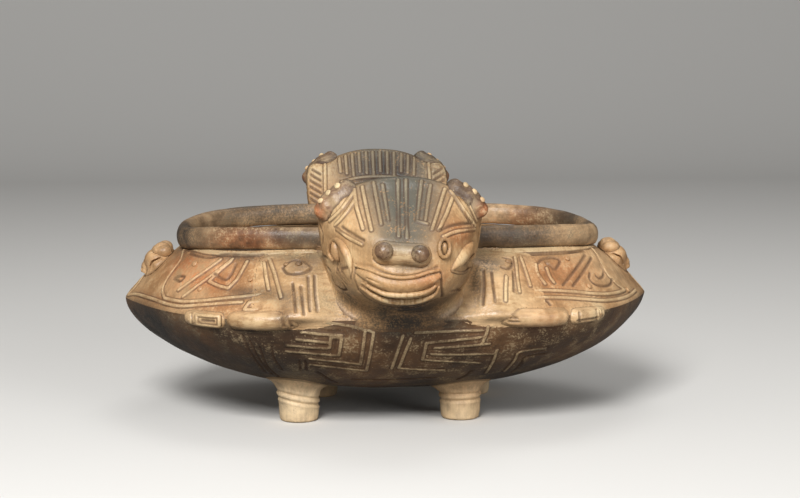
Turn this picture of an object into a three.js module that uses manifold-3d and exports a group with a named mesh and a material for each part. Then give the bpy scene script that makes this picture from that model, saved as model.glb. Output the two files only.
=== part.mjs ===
// Effigy bowl of burnished earthenware: an oval bowl with a keel drawn out to two points, a rolled rim,
// four short feet, an animal head at the front and at the back, four bent limbs lying along the keel,
// and a small head on the shoulder above each point. Each piece of clay that the potter formed by
// itself is a mesh of its own. Millimetres, +Z up, front towards -Y, origin on the ground under the
// middle of the bowl. The bowl looks the same after half a turn about Z.

import * as THREE from 'three';
import { mergeVertices } from 'three/addons/utils/BufferGeometryUtils.js';
import Module from 'manifold-3d';

// Clearance between pieces that touch
const fitGap = 0.3;

// Plan of the keel, a lemon shape: half sizes, fullness of its long sides and bluntness of its points
const keelHalfWidth = 150;
const keelHalfDepth = 97;
const keelFullness = 4.35;
const pointBluntness = 1.05;

// Plan of the belly, which rounds off the points below the keel
const bellyHalfWidth = 144;
const bellySquareness = 2.15;
const pointFade = 3;

// Profile of the wall: underside, keel, wall and the curve of the belly
const floorHeight = 14.5;
const keelHeight = 65;
const wallThickness = 6.5;
const keelRounding = 3.5;
const shoulderBulge = 1.5;
const bellyFlatness = 2.4;
const bellyTurn = 0.56;

// Rolled rim: outer half sizes, heights over the ends and the long sides, and the coil's own section
const rimHalfWidth = 121;
const rimHalfDepth = 71;
const rimSquareness = 2.6;
const rimEndHeight = 107;
const rimSideHeight = 112;
const rimThickness = 9.2;
const rimCoilHeight = 13;
const rimOverhang = 1.8;
const rimRoundness = 2 / 3;
const rimFootDirection = -72;

// Feet: places and radii of the sole, the ankle and the flare under the bowl
const footSideways = 45.4;
const footOffCentre = 7.1;
const footForward = 37;
const soleRadius = 10.5;
const ankleRadius = 11.3;
const ankleHeight = 10;
const footFlareRadius = 16;
const soleRounding = 0.8;
const footBury = 1;

// Head: height over the keel, half width, reach of the muzzle past the rim, wall and slope of its back
const headHeight = 77.5;
const headHalfWidth = 43.5;
const muzzleReach = 68;
const headWall = 8;
const headBackSlope = 0.6;
const headCornerRounding = 2.5;
const headCrestHalfWidth = 24;
const cavityTopShare = 0.774;
const cavityTopWall = 10.4;

// Ear rolls: section, and the two ends of the roll as rises above the keel and distances to the side
const earThickness = 8.6;
const earDepth = 11;
const earInnerRise = 74;
const earInnerSideways = 30;
const earOuterRise = 61;
const earOuterSideways = 44.5;
const earSetForward = 5;
const earSeat = 3.6;
const earArch = 0.9;
const earPelletRadius = 2.4;
const earPelletHeight = 3.84;
const earPelletPlaces = [0.2, 0.5, 0.8];
const earPelletUp = 0.75;
const earPelletForward = 0.6;

// Nose, as a bar across the muzzle with a ball in each end
const noseRise = 42.5;
const noseBarWidth = 28.6;
const noseBarHeight = 12;
const noseBarDepth = 10;
const noseBarStandOut = 5;
const noseBarBow = 2;
const nostrilSpacing = 17.4;
const nostrilRadius = 4.7;
const nostrilLift = 1;
const nostrilSink = 0.94;

// Eyes
const eyeRise = 37;
const eyeSideways = 33;
const eyeTiltDegrees = 14;
const eyeLength = 20;
const eyeWidth = 11;
const eyeDepth = 7;
const eyeStandOut = 3;

// Mouth: two lips that dip in the middle
const mouthCornerRise = 32;
const mouthWidth = 44;
const lowerLipInset = 1.5;
const mouthDip = 8;
const upperLipHeight = 6.4;
const lowerLipHeight = 5;
const lipDepth = 6.4;
const lipStandOut = 2.4;
const lipOverlap = 0.6;

// Limbs: places along the keel as angles from straight ahead, in degrees, and sections of the clay
const elbowAngle = 29;
const wristAngle = 48.5;
const pawTipAngle = 60;
const upperArmWidth = 30;
const upperArmThickness = 9;
const forearmHeight = 11;
const forearmThickness = 15;
const pawHeight = 9.5;
const pawThickness = 13;

// Path of the upper arm from the elbow up the shoulder: degrees past the elbow, and shares of the way up
const elbowSink = 2;
const upperArmPath = [
  { past: 1.5, rise: 0.15 },
  { past: 4, rise: 0.5 },
  { past: 8, rise: 0.9 },
];

// Set of the forearm and the paw on the keel: how far they overlap, stand out and sink
const elbowOverlap = 1;
const elbowStandOut = 3;
const elbowLift = 1;
const wristOverlap = 2;
const wristSink = 0.5;
const pawTipSetBack = 0.5;
const pawTipSink = 1.5;

// Small heads above the points, as a share of the way up the shoulder and sizes of their own
const sideHeadRise = 0.55;
const sideHeadRadius = 8.6;
const sideHeadHalfDepth = 7.3;
const sideHeadLift = 2.5;
const sideHeadLean = 0.3;
const sideSnoutRadius = 4.4;
const sideSnoutHalfWidth = 4.84;
const sideSnoutLength = 9;
const sideSnoutDroop = 41;
const sideSnoutSetOut = 2.15;
const sideCrestRadius = 4.6;
const sideCrestHalfDepth = 3.7;
const sideCrestLift = 10;
const sideCrestSetBack = 4.5;
const sideCrestSpacing = 5;
const sideCrestStep = 1.4;

// Raised strips of the carving: section, and how deep they sit in the clay
const stripHeight = 1.9;
const stripWidth = 2.4;
const stripSink = 0.3;

// Main strips of the panels on the two sides of the front, each as places on the shoulder in degrees from
// straight ahead and shares of the way up
const panelStrips = [
  { side: -1, places: [[66.5, 0.12], [56, 0.16], [50, 0.23], [42, 0.32]] },
  { side: -1, places: [[76, 0.88], [74, 0.62], [72.5, 0.29]] },
  { side: -1, places: [[63, 0.21], [59.5, 0.48], [56.5, 0.82]] },
  { side: -1, places: [[57.5, 0.45], [51, 0.37], [52, 0.79]] },
  { side: 1, places: [[68, 0.13], [59, 0.19], [53, 0.26], [43, 0.32]] },
  { side: 1, places: [[73.5, 0.88], [70.5, 0.52], [72, 0.23]] },
  { side: 1, places: [[46, 0.81], [44, 0.64], [42.5, 0.41]] },
  { side: 1, places: [[50, 0.65], [49, 0.52], [49, 0.42]] },
  { side: 1, places: [[68, 0.81], [60, 0.59], [53, 0.39]] },
];

// Main strips of the fan on the forehead, each from its lower to its upper end as distances to the side
// and rises above the keel, then the upright strips on the back of the head
const foreheadStrips = [
  [[-21.7, 53], [-24.3, 63], [-25, 71]],
  [[-12.2, 56], [-12.9, 64], [-13.5, 72]],
  [[0.5, 50], [1.5, 62], [2.2, 73]],
  [[10.8, 57], [12.7, 64], [14.6, 71]],
  [[18, 52.5], [22.2, 60], [25, 66]],
];
const plateStripSideways = [-19.6, -10.8, -2, 6.6, 15.2];
const plateStripRises = [62, 67.5, 73];

// Fineness of the shapes, and how blunt and how high the ends and the lumps are meshed
const turns = 60;
const endCrowding = 0.6;
const bluntEnd = 0.35;
const lumpRingsPerSide = 0.6;

const clayColours = {
  belly: 0x94704a,
  shoulder: 0xb27f50,
  rim: 0xa5835e,
  foot: 0xbb9568,
  head: 0xc69a66,
  darkRoll: 0x6c5542,
  pellet: 0xdcc49a,
  nose: 0x8f6f52,
  limb: 0xc59563,
  sideHead: 0xc2976a,
};

const degrees = Math.PI / 180;
const lerp = THREE.MathUtils.lerp;

const wasm = await Module();
wasm.setup();

// Solids: a closed geometry becomes a solid for joining and cutting, and comes back as a geometry

function signedVolume(geometry) {
  const place = geometry.attributes.position;
  const corner = [new THREE.Vector3(), new THREE.Vector3(), new THREE.Vector3()];
  let volume = 0;
  for (let i = 0; i < geometry.index.count; i += 3) {
    corner.forEach((point, k) => point.fromBufferAttribute(place, geometry.index.getX(i + k)));
    volume += corner[0].dot(corner[1].cross(corner[2])) / 6;
  }
  return volume;
}

function toSolid(geometry) {
  const bare = geometry.clone();
  bare.deleteAttribute('normal');
  bare.deleteAttribute('uv');
  const merged = mergeVertices(bare, 1e-4);
  const outward = signedVolume(merged) > 0;
  const triangles = [];
  for (let i = 0; i < merged.index.count; i += 3) {
    const [a, b, c] = [0, 1, 2].map((k) => merged.index.getX(i + k));
    if (a !== b && b !== c && c !== a) {
      triangles.push(...(outward ? [a, b, c] : [a, c, b]));
    }
  }
  return new wasm.Manifold(new wasm.Mesh({
    numProp: 3,
    vertProperties: new Float32Array(merged.attributes.position.array),
    triVerts: new Uint32Array(triangles),
  }));
}

function toGeometry(solid) {
  const mesh = solid.getMesh();
  const geometry = new THREE.BufferGeometry();
  geometry.setAttribute('position', new THREE.BufferAttribute(new Float32Array(mesh.vertProperties), 3));
  geometry.setIndex(new THREE.BufferAttribute(new Uint32Array(mesh.triVerts), 1));
  geometry.computeVertexNormals();
  return geometry;
}

const cut = (solid, ...tools) => tools.reduce((rest, tool) => rest.subtract(tool), solid);
const join = (solid, ...parts) => parts.reduce((whole, part) => whole.add(part), solid);

// Plan curves, as a radius at an angle about Z. On an oval, x and y as shares of the half sizes, each
// raised to its own power, add up to one. The radius is found by stepping inwards from outside the oval.

function ovalRadius(angle, halfWidth, halfDepth, widthPower, depthPower = widthPower) {
  const across = Math.abs(Math.cos(angle)) / halfWidth;
  const along = Math.abs(Math.sin(angle)) / halfDepth;
  let radius = 1 / Math.max(across, along);
  for (let i = 0; i < 12; i += 1) {
    const acrossTerm = (radius * across) ** widthPower;
    const alongTerm = (radius * along) ** depthPower;
    const slope = (widthPower * acrossTerm + depthPower * alongTerm) / radius;
    radius -= (acrossTerm + alongTerm - 1) / slope;
  }
  return radius;
}

function keelRadius(angle, inset = 0) {
  return ovalRadius(angle, keelHalfWidth - inset, keelHalfDepth - inset, keelFullness, pointBluntness);
}

function bellyRadius(angle, inset = 0) {
  return ovalRadius(angle, bellyHalfWidth - inset, keelHalfDepth - inset, bellySquareness);
}

function rimRadius(angle, inset = 0) {
  return ovalRadius(angle, rimHalfWidth - inset, rimHalfDepth - inset, rimSquareness);
}

function rimHeight(angle) {
  const across = rimRadius(angle) * Math.sin(angle) / rimHalfDepth;
  return lerp(rimEndHeight, rimSideHeight, 1 - (1 - across * across) ** 2);
}

// Profile of the wall at one angle, as points of radius and height

const keelInset = wallThickness * Math.SQRT2;
const seamBelow = keelHeight - fitGap / 2;
const seamAbove = keelHeight + fitGap / 2;

// Share of the keel's radius that the belly has at a share of the height between floor and keel
function bellyShare(rise) {
  return (1 - (1 - rise) ** (1 / bellyTurn)) ** (1 / bellyFlatness);
}

function bellyProfile(angle, steps, bottom, inset) {
  const profile = [];
  for (let i = 0; i <= steps; i += 1) {
    const rise = i < steps ? 1 - Math.cos(i / steps * Math.PI / 2) : 1;
    const share = bellyShare(rise);
    const radius = share * lerp(bellyRadius(angle, inset), keelRadius(angle, inset), share ** pointFade);
    profile.push([radius, lerp(bottom, seamBelow, rise)]);
  }
  return profile;
}

// Slope of the shoulder from its foot to the neck
function slopePoint(foot, neck, rise) {
  const bulge = shoulderBulge * Math.sin(Math.PI * rise) * Math.SQRT1_2;
  return [lerp(foot[0], neck[0], rise) + bulge, lerp(foot[1], neck[1], rise) + bulge];
}

function neckHeight(angle) {
  return rimHeight(angle) - rimCoilHeight - fitGap;
}

// The rounding of the keel turns the wall from upright into its slope
const slopeAngle = 45 * degrees;

// Outer surface of the shoulder: rise 0 is just above the rounded keel and 1 is the neck
function shoulderPoint(angle, rise) {
  const foot = [
    keelRadius(angle, keelRounding * (1 - Math.cos(slopeAngle))),
    seamAbove + keelRounding * Math.sin(slopeAngle),
  ];
  const neck = [rimRadius(angle, rimOverhang), neckHeight(angle)];
  return slopePoint(foot, neck, rise);
}

function shoulderOutside(angle, steps) {
  const radius = keelRadius(angle);
  const halfTurn = slopeAngle / 2;
  const profile = [
    [radius, seamAbove],
    [radius - keelRounding * (1 - Math.cos(halfTurn)), seamAbove + keelRounding * Math.sin(halfTurn)],
  ];
  for (let i = 0; i <= steps; i += 1) {
    profile.push(shoulderPoint(angle, i / steps));
  }
  return profile;
}

function shoulderInside(angle, steps) {
  const foot = [keelRadius(angle, keelInset), seamAbove];
  const neck = [rimRadius(angle, rimOverhang + wallThickness), neckHeight(angle)];
  const profile = [];
  for (let i = steps; i >= 0; i -= 1) {
    profile.push(slopePoint(foot, neck, i / steps));
  }
  return profile;
}

// Section of the rim coil from one direction to another, in degrees, where 0 points outwards
function rimProfile(angle, from, to, steps) {
  const middle = rimHeight(angle) - rimCoilHeight / 2;
  const rounded = (value) => Math.sign(value) * Math.abs(value) ** rimRoundness;
  const profile = [];
  for (let i = 0; i <= steps; i += 1) {
    const turn = lerp(from, to, i / steps) * degrees;
    const out = rounded(Math.cos(turn)) * rimThickness / 2;
    const up = rounded(Math.sin(turn)) * rimCoilHeight / 2;
    profile.push([rimRadius(angle, rimThickness / 2 - out), middle + up]);
  }
  return profile;
}

// The whole outside of the bowl, closed by a lid at the rim, grown by a clearance to cut its neighbours
function bodyEnvelopeProfile(angle) {
  const profile = [
    ...bellyProfile(angle, 6, floorHeight, 0),
    ...shoulderOutside(angle, 4),
    ...rimProfile(angle, rimFootDirection, 90, 5),
    [0, rimSideHeight],
  ];
  return profile.map(([radius, height], i) => {
    if (i === 0) {
      return [0, height - fitGap];
    }
    if (i === profile.length - 1) {
      return [0, height + fitGap];
    }
    const [before, after] = [profile[i - 1], profile[i + 1]];
    const along = new THREE.Vector2(after[0] - before[0], after[1] - before[1]).normalize();
    return [radius + fitGap * along.y, height - fitGap * along.x];
  });
}

// A solid turned about Z from one profile for each angle, with the angles crowded at the two points.
// A profile starts and ends on the axis, or closes on itself.
function turnedSolid(profileAt) {
  const rows = [];
  for (let i = 0; i < turns; i += 1) {
    const even = i / turns * 2 * Math.PI;
    const angle = even - endCrowding * Math.sin(2 * even) / 2;
    rows.push(profileAt(angle).map(([radius, height]) => [
      radius * Math.cos(angle), radius * Math.sin(angle), height,
    ]));
  }
  const count = rows[0].length;
  const index = [];
  for (let i = 0; i < turns; i += 1) {
    const next = (i + 1) % turns;
    for (let j = 0; j < count; j += 1) {
      const above = (j + 1) % count;
      const [a, b, c, d] = [i * count + j, next * count + j, next * count + above, i * count + above];
      index.push(a, b, c, a, c, d);
    }
  }
  const geometry = new THREE.BufferGeometry();
  geometry.setAttribute('position', new THREE.Float32BufferAttribute(rows.flat(2), 3));
  geometry.setIndex(index);
  return toSolid(geometry);
}

// A solid skinned over a row of closed rings that all have the same number of points
function loftedSolid(rings) {
  const count = rings[0].length;
  const middle = (ring) => ring.reduce((sum, point) => sum.add(point), new THREE.Vector3())
    .divideScalar(count);
  const points = [...rings.flat(), middle(rings[0]), middle(rings[rings.length - 1])];
  const [startCentre, endCentre] = [points.length - 2, points.length - 1];
  const lastRing = (rings.length - 1) * count;
  const index = [];
  for (let j = 0; j < count; j += 1) {
    const next = (j + 1) % count;
    for (let i = 0; i < rings.length - 1; i += 1) {
      const [a, b, c, d] = [i * count + j, i * count + next, (i + 1) * count + next, (i + 1) * count + j];
      index.push(a, b, c, a, c, d);
    }
    index.push(startCentre, next, j, endCentre, lastRing + j, lastRing + next);
  }
  const geometry = new THREE.BufferGeometry();
  geometry.setFromPoints(points);
  geometry.setIndex(index);
  return toSolid(geometry);
}

// A coil of clay along a curve, with an oval section and rounded ends. upAt gives the direction of the
// section's height, and the clay can be grown by a clearance.
function coilSolid(curve, { height, thickness, upAt, steps = 8, sides = 12, grow = 0, endShare = 0.12 }) {
  const rings = [];
  for (let i = 0; i <= steps; i += 1) {
    const share = (1 - Math.cos(i / steps * Math.PI)) / 2;
    const fromEnd = Math.min(share, 1 - share) / endShare;
    const size = fromEnd >= 1 ? 1 : Math.max(bluntEnd, Math.sqrt(1 - (1 - fromEnd) ** 2));
    const centre = curve.getPointAt(share);
    const along = curve.getTangentAt(share);
    const side = new THREE.Vector3().crossVectors(along, upAt(share, centre)).normalize();
    const up = new THREE.Vector3().crossVectors(side, along).normalize();
    centre.addScaledVector(along, share < 0.5 ? -grow : grow);
    const ring = [];
    for (let j = 0; j < sides; j += 1) {
      const turn = j / sides * 2 * Math.PI;
      ring.push(centre.clone()
        .addScaledVector(up, Math.sin(turn) * (height / 2 * size + grow))
        .addScaledVector(side, Math.cos(turn) * (thickness / 2 * size + grow)));
    }
    rings.push(ring);
  }
  return loftedSolid(rings);
}

// An oval lump with its own three half sizes, turned so that its third one points along a direction
function lumpSolid(centre, halfSizes, outward, roll = 0, grow = 0, sides = 12) {
  const geometry = new THREE.SphereGeometry(1, sides, Math.round(sides * lumpRingsPerSide));
  geometry.scale(halfSizes[0] + grow, halfSizes[1] + grow, halfSizes[2] + grow);
  geometry.rotateZ(roll);
  const toward = new THREE.Matrix4().lookAt(outward, new THREE.Vector3(), new THREE.Vector3(0, 0, 1));
  geometry.applyMatrix4(toward);
  geometry.translate(centre.x, centre.y, centre.z);
  return toSolid(geometry);
}

// A raised strip of the carving, half sunk into the clay along places that each have an outward direction
function stripSolid(spots) {
  const centres = spots.map(({ place, outward }) => place.clone().addScaledVector(outward, -stripSink));
  return coilSolid(new THREE.CatmullRomCurve3(centres), {
    height: stripHeight, thickness: stripWidth, steps: 6, sides: 6,
    upAt: (share) => spots[Math.round(share * (spots.length - 1))].outward,
  });
}

// Bowl

const bodyEnvelope = turnedSolid(bodyEnvelopeProfile);

const lowerBowl = turnedSolid((angle) => [
  ...bellyProfile(angle, 6, floorHeight, 0),
  ...bellyProfile(angle, 5, floorHeight + wallThickness, keelInset).reverse(),
]);

// Place on the front of the shoulder at an angle from straight ahead and a share of the way up
function shoulderPlace(side, fromFront, rise) {
  const angle = -Math.PI / 2 + side * fromFront * degrees;
  const [radius, height] = shoulderPoint(angle, rise);
  return new THREE.Vector3(radius * Math.cos(angle), radius * Math.sin(angle), height);
}

function shoulderSpot(side, fromFront, rise) {
  const [turnStep, riseStep] = [1, 0.05];
  const across = shoulderPlace(side, fromFront + turnStep, rise);
  const up = shoulderPlace(side, fromFront, rise + riseStep);
  across.sub(shoulderPlace(side, fromFront - turnStep, rise));
  up.sub(shoulderPlace(side, fromFront, rise - riseStep));
  return {
    place: shoulderPlace(side, fromFront, rise),
    outward: across.cross(up).multiplyScalar(side).normalize(),
  };
}

const frontStrips = panelStrips.map(({ side, places }) => stripSolid(
  places.map(([fromFront, rise]) => shoulderSpot(side, fromFront, rise)),
));
const shoulderWall = join(
  turnedSolid((angle) => [...shoulderOutside(angle, 4), ...shoulderInside(angle, 3)]),
  ...frontStrips,
  ...frontStrips.map((strip) => strip.rotate([0, 0, 180])),
);

const rimSides = 10;
const rimCoil = turnedSolid((angle) => rimProfile(angle, -90, 270 - 360 / rimSides, rimSides - 1));

// Feet

function undersideHeight(x, y) {
  const share = Math.min(1, Math.hypot(x, y) / bellyRadius(Math.atan2(y, x)));
  return lerp(floorHeight, seamBelow, 1 - (1 - share ** bellyFlatness) ** bellyTurn);
}

// The two feet under a head stand off its middle, both to the same side
function footSolid(side) {
  const sideways = side * footSideways - footOffCentre;
  const top = undersideHeight(Math.abs(sideways) + footFlareRadius, footForward + footFlareRadius) + footBury;
  const profile = [
    [0, 0],
    [soleRadius - soleRounding, 0],
    [soleRadius, soleRounding],
    [ankleRadius, ankleHeight],
  ];
  const flareSteps = 3;
  for (let i = 1; i <= flareSteps; i += 1) {
    const share = i / flareSteps;
    profile.push([lerp(ankleRadius, footFlareRadius, share ** 2), lerp(ankleHeight, top, share)]);
  }
  profile.push([0, top]);
  const geometry = new THREE.LatheGeometry(profile.map(([radius, z]) => new THREE.Vector2(radius, z)), 20);
  geometry.rotateX(Math.PI / 2);
  geometry.translate(sideways, -footForward, 0);
  return cut(toSolid(geometry), bodyEnvelope);
}

// Head. Each section is a level plan of it. The first numbers are shares of the head's height, of its half
// width and of the muzzle's reach: how far up the section is, how wide, and how far its sides and its
// front stand out past the rim. The last number is how square its front is.

const headShape = [
  { up: -0.09, wide: 0.69, side: 0.235, out: 0.338, square: 2.4 },
  { up: 0.077, wide: 0.713, side: 0.265, out: 0.515, square: 2.4 },
  { up: 0.168, wide: 0.736, side: 0.294, out: 0.706, square: 2.6 },
  { up: 0.219, wide: 0.782, side: 0.309, out: 0.897, square: 2.8 },
  { up: 0.284, wide: 0.851, side: 0.324, out: 0.971, square: 2.9 },
  { up: 0.361, wide: 0.908, side: 0.338, out: 1, square: 3 },
  { up: 0.516, wide: 0.966, side: 0.353, out: 0.971, square: 3 },
  { up: 0.606, wide: 0.989, side: 0.353, out: 0.941, square: 3 },
  { up: 0.697, wide: 1, side: 0.368, out: 0.838, square: 3.4 },
  { up: cavityTopShare, wide: 1, side: 0.382, out: 0.735, square: 4 },
  { up: 0.852, wide: 1, side: 0.397, out: 0.632, square: 4.4 },
  { up: 0.916, wide: 1, side: 0.419, out: 0.559, square: 5 },
  { up: 0.968, wide: 1, side: 0.434, out: 0.529, square: 6 },
  { up: 1, wide: 1, side: 0.441, out: 0.5, square: 6 },
];

// The upper corners of the head slope in under the ear rolls, up to the crest
function cornerHalfWidth(rise) {
  const share = (rise - earOuterRise) / (earInnerRise - earOuterRise);
  return Math.max(headCrestHalfWidth, lerp(earOuterSideways, earInnerSideways, share) + earSeat);
}

const headSections = headShape.map(({ up, wide, side, out, square }) => ({
  up,
  rise: up * headHeight,
  half: Math.min(wide * headHalfWidth, cornerHalfWidth(up * headHeight)),
  side: side * muzzleReach,
  front: out * muzzleReach,
  square,
}));
const headStart = rimSideHeight - rimCoilHeight;

function headBack(z) {
  return rimHalfDepth + headBackSlope * Math.max(0, z - headStart);
}

function headSectionAt(z) {
  const rise = THREE.MathUtils.clamp(z - keelHeight, headSections[0].rise, headHeight);
  const upper = headSections.findIndex((section) => section.rise >= rise);
  const [low, high] = [headSections[Math.max(0, upper - 1)], headSections[upper]];
  const share = high.rise > low.rise ? (rise - low.rise) / (high.rise - low.rise) : 0;
  const mixed = {};
  for (const key of Object.keys(low)) {
    mixed[key] = lerp(low[key], high[key], share);
  }
  return mixed;
}

function faceDepth(section, x, grow) {
  const bow = 1 - Math.min(1, Math.abs(x) / (section.half + grow)) ** section.square;
  return rimHalfDepth + section.side + (section.front - section.side + grow) * bow;
}

// Plan ring of the head at one section, from one back corner round the face to the other
function headRing(section, z, grow) {
  const half = section.half + grow;
  const faceSteps = 14;
  const back = headBack(z) - grow;
  const side = rimHalfDepth + section.side;
  const backOfSide = lerp(back, side, Math.min(0.8, headCornerRounding / (side - back)));
  const ring = [];
  for (let i = 0; i <= faceSteps; i += 1) {
    const x = -half * Math.cos(i / faceSteps * Math.PI);
    ring.push(new THREE.Vector3(x, -faceDepth(section, x, grow), z));
  }
  ring.push(new THREE.Vector3(half, -backOfSide, z));
  for (const share of [1, 0, -1]) {
    ring.push(new THREE.Vector3(share * (half - headCornerRounding), -back, z));
  }
  ring.push(new THREE.Vector3(-half, -backOfSide, z));
  return ring;
}

function headSolid(grow) {
  return loftedSolid(headSections.map((section, i) => {
    const lift = i === 0 ? -grow : (i === headSections.length - 1 ? grow : 0);
    return headRing(section, keelHeight + section.rise + lift, grow);
  }));
}

// Hollow of the head, which runs out through the side that is luted to the shoulder
function headCavity() {
  return loftedSolid(headSections.filter((section) => section.up <= cavityTopShare).map((section) => {
    const z = keelHeight + section.rise - (section.up < 0 ? fitGap : 0);
    return headRing(section, z, section.up === cavityTopShare ? -cavityTopWall : -headWall);
  }));
}

const grownHead = headSolid(fitGap);

// Point of the face at a place across and up, and the way the face looks there
function facePoint(x, z, standOut = 0) {
  const depthAt = (across, up) => faceDepth(headSectionAt(up), across, 0);
  const step = 1;
  const slopeX = (depthAt(x + step, z) - depthAt(x - step, z)) / (2 * step);
  const slopeZ = (depthAt(x, z + step) - depthAt(x, z - step)) / (2 * step);
  const outward = new THREE.Vector3(-slopeX, -1, -slopeZ).normalize();
  const place = new THREE.Vector3(x, -depthAt(x, z), z).addScaledVector(outward, standOut);
  return { place, outward };
}

// Point of the leaning back of the head, which looks up and away from the face
function platePoint(x, z) {
  return {
    place: new THREE.Vector3(x, -headBack(z), z),
    outward: new THREE.Vector3(0, 1, headBackSlope).normalize(),
  };
}

const headCore = join(
  cut(headSolid(0), headCavity(), bodyEnvelope),
  ...foreheadStrips.map((places) => stripSolid(places.map(([x, rise]) => facePoint(x, keelHeight + rise)))),
  ...plateStripSideways.map((x) => stripSolid(
    plateStripRises.map((rise) => platePoint(x, keelHeight + rise)),
  )),
);

// Ear roll along the sloping upper corner of the head, and the pellets along the roll

function earUp(side) {
  const fall = earInnerRise - earOuterRise;
  return new THREE.Vector3(side * fall, 0, earOuterSideways - earInnerSideways).normalize();
}

function earCurve(side) {
  const middleRise = (earInnerRise + earOuterRise) / 2;
  const y = -(headBack(keelHeight + middleRise) + earDepth / 2 + earSetForward);
  const inner = new THREE.Vector3(side * earInnerSideways, y, keelHeight + earInnerRise);
  const outer = new THREE.Vector3(side * earOuterSideways, y, keelHeight + earOuterRise);
  const middle = inner.clone().lerp(outer, 0.5).addScaledVector(earUp(side), earArch);
  return new THREE.CatmullRomCurve3([inner, middle, outer]);
}

function earSolid(side, grow) {
  return coilSolid(earCurve(side), {
    height: earThickness, thickness: earDepth, upAt: () => earUp(side),
    steps: 6, sides: 10, grow, endShare: 0.3,
  });
}

function earPelletSolid(side, share) {
  const forward = new THREE.Vector3(0, -1, 0);
  const outward = earUp(side).add(forward).normalize();
  const place = earCurve(side).getPointAt(share)
    .addScaledVector(earUp(side), earThickness / 2 * earPelletUp)
    .addScaledVector(forward, earDepth / 2 * earPelletForward);
  const halfSizes = [earPelletRadius, earPelletRadius, earPelletHeight / 2];
  return cut(lumpSolid(place, halfSizes, outward, 0, 0, 8), earSolid(side, fitGap), grownHead);
}

// Nose, eyes and mouth

function noseBarSolid(grow) {
  const middle = facePoint(0, keelHeight + noseRise, noseBarStandOut - noseBarDepth / 2).place;
  const curve = new THREE.CatmullRomCurve3([-1, 0, 1].map((share) => new THREE.Vector3(
    share * noseBarWidth / 2, middle.y + Math.abs(share) * noseBarBow, middle.z,
  )));
  return coilSolid(curve, {
    height: noseBarHeight, thickness: noseBarDepth, upAt: () => new THREE.Vector3(0, 0, 1),
    steps: 7, sides: 10, grow, endShare: 0.3,
  });
}

function nostrilSolid(side) {
  const z = keelHeight + noseRise + nostrilLift;
  const { place, outward } = facePoint(side * nostrilSpacing / 2, z, noseBarStandOut - nostrilSink);
  return cut(lumpSolid(place, [nostrilRadius, nostrilRadius, nostrilRadius], outward, 0, 0, 10),
    noseBarSolid(fitGap), grownHead);
}

function eyeSolid(side) {
  const { place, outward } = facePoint(side * eyeSideways, keelHeight + eyeRise, eyeStandOut - eyeDepth / 2);
  const halfSizes = [eyeWidth / 2, eyeLength / 2, eyeDepth / 2];
  return cut(lumpSolid(place, halfSizes, outward, side * eyeTiltDegrees * degrees, 0, 10), grownHead);
}

// A lip is a flattened coil across the muzzle that dips in the middle
function lipSolid({ height, width, drop, grow }) {
  const points = [];
  const steps = 8;
  for (let i = 0; i <= steps; i += 1) {
    const share = i / steps * 2 - 1;
    const z = keelHeight + mouthCornerRise - drop - mouthDip * (1 - share * share);
    points.push(facePoint(share * width / 2, z, lipStandOut - lipDepth / 2).place);
  }
  return coilSolid(new THREE.CatmullRomCurve3(points), {
    height, thickness: lipDepth, upAt: () => new THREE.Vector3(0, 0, 1),
    steps: 8, sides: 8, grow, endShare: 0.1,
  });
}

const upperLip = { height: upperLipHeight, width: mouthWidth, drop: 0, grow: 0 };
const lowerLip = {
  height: lowerLipHeight,
  width: mouthWidth - 2 * lowerLipInset,
  drop: (upperLipHeight + lowerLipHeight) / 2 - lipOverlap,
  grow: 0,
};

// Limbs

// Point over the keel at an angle from straight ahead, moved outwards and up
function keelPoint(side, fromFront, out, up) {
  const angle = -Math.PI / 2 + side * fromFront * degrees;
  const radius = keelRadius(angle) + out;
  return new THREE.Vector3(radius * Math.cos(angle), radius * Math.sin(angle), keelHeight + up);
}

function upperArmSolid(side, grow) {
  const curve = new THREE.CatmullRomCurve3([
    keelPoint(side, elbowAngle, 0, -elbowSink),
    ...upperArmPath.map(({ past, rise }) => shoulderPlace(side, elbowAngle + past, rise)),
  ]);
  return coilSolid(curve, {
    height: upperArmThickness, thickness: upperArmWidth, upAt: () => new THREE.Vector3(0, -1, 1),
    steps: 7, sides: 10, grow, endShare: 0.25,
  });
}

function forearmSolid(side, grow) {
  const curve = new THREE.CatmullRomCurve3([0, 1 / 3, 2 / 3, 1].map((share) => keelPoint(
    side,
    lerp(elbowAngle - elbowOverlap, wristAngle, share),
    lerp(elbowStandOut, 0, share),
    lerp(elbowLift, 0, share),
  )));
  return coilSolid(curve, {
    height: forearmHeight, thickness: forearmThickness, upAt: () => new THREE.Vector3(0, 0, 1),
    steps: 7, sides: 10, grow, endShare: 0.16,
  });
}

function pawSolid(side) {
  const curve = new THREE.CatmullRomCurve3([0, 0.5, 1].map((share) => keelPoint(
    side,
    lerp(wristAngle - wristOverlap, pawTipAngle, share),
    lerp(0, -pawTipSetBack, share),
    lerp(-wristSink, -pawTipSink, share),
  )));
  const paw = coilSolid(curve, {
    height: pawHeight, thickness: pawThickness, upAt: () => new THREE.Vector3(0, 0, 1),
    steps: 6, sides: 10, endShare: 0.3,
  });
  return cut(paw, forearmSolid(side, fitGap), bodyEnvelope);
}

// Small head on the shoulder above a point, looking outwards and down

function sideHeadPlace(side, out, up) {
  const [radius, height] = shoulderPoint(side > 0 ? 0 : Math.PI, sideHeadRise);
  return new THREE.Vector3(side * (radius + out), 0, height + up);
}

function sideHeadSolid(side, grow) {
  const outward = new THREE.Vector3(side, 0, sideHeadLean).normalize();
  const halfSizes = [sideHeadRadius, sideHeadRadius, sideHeadHalfDepth];
  return lumpSolid(sideHeadPlace(side, 0, sideHeadLift), halfSizes, outward, 0, grow);
}

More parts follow.
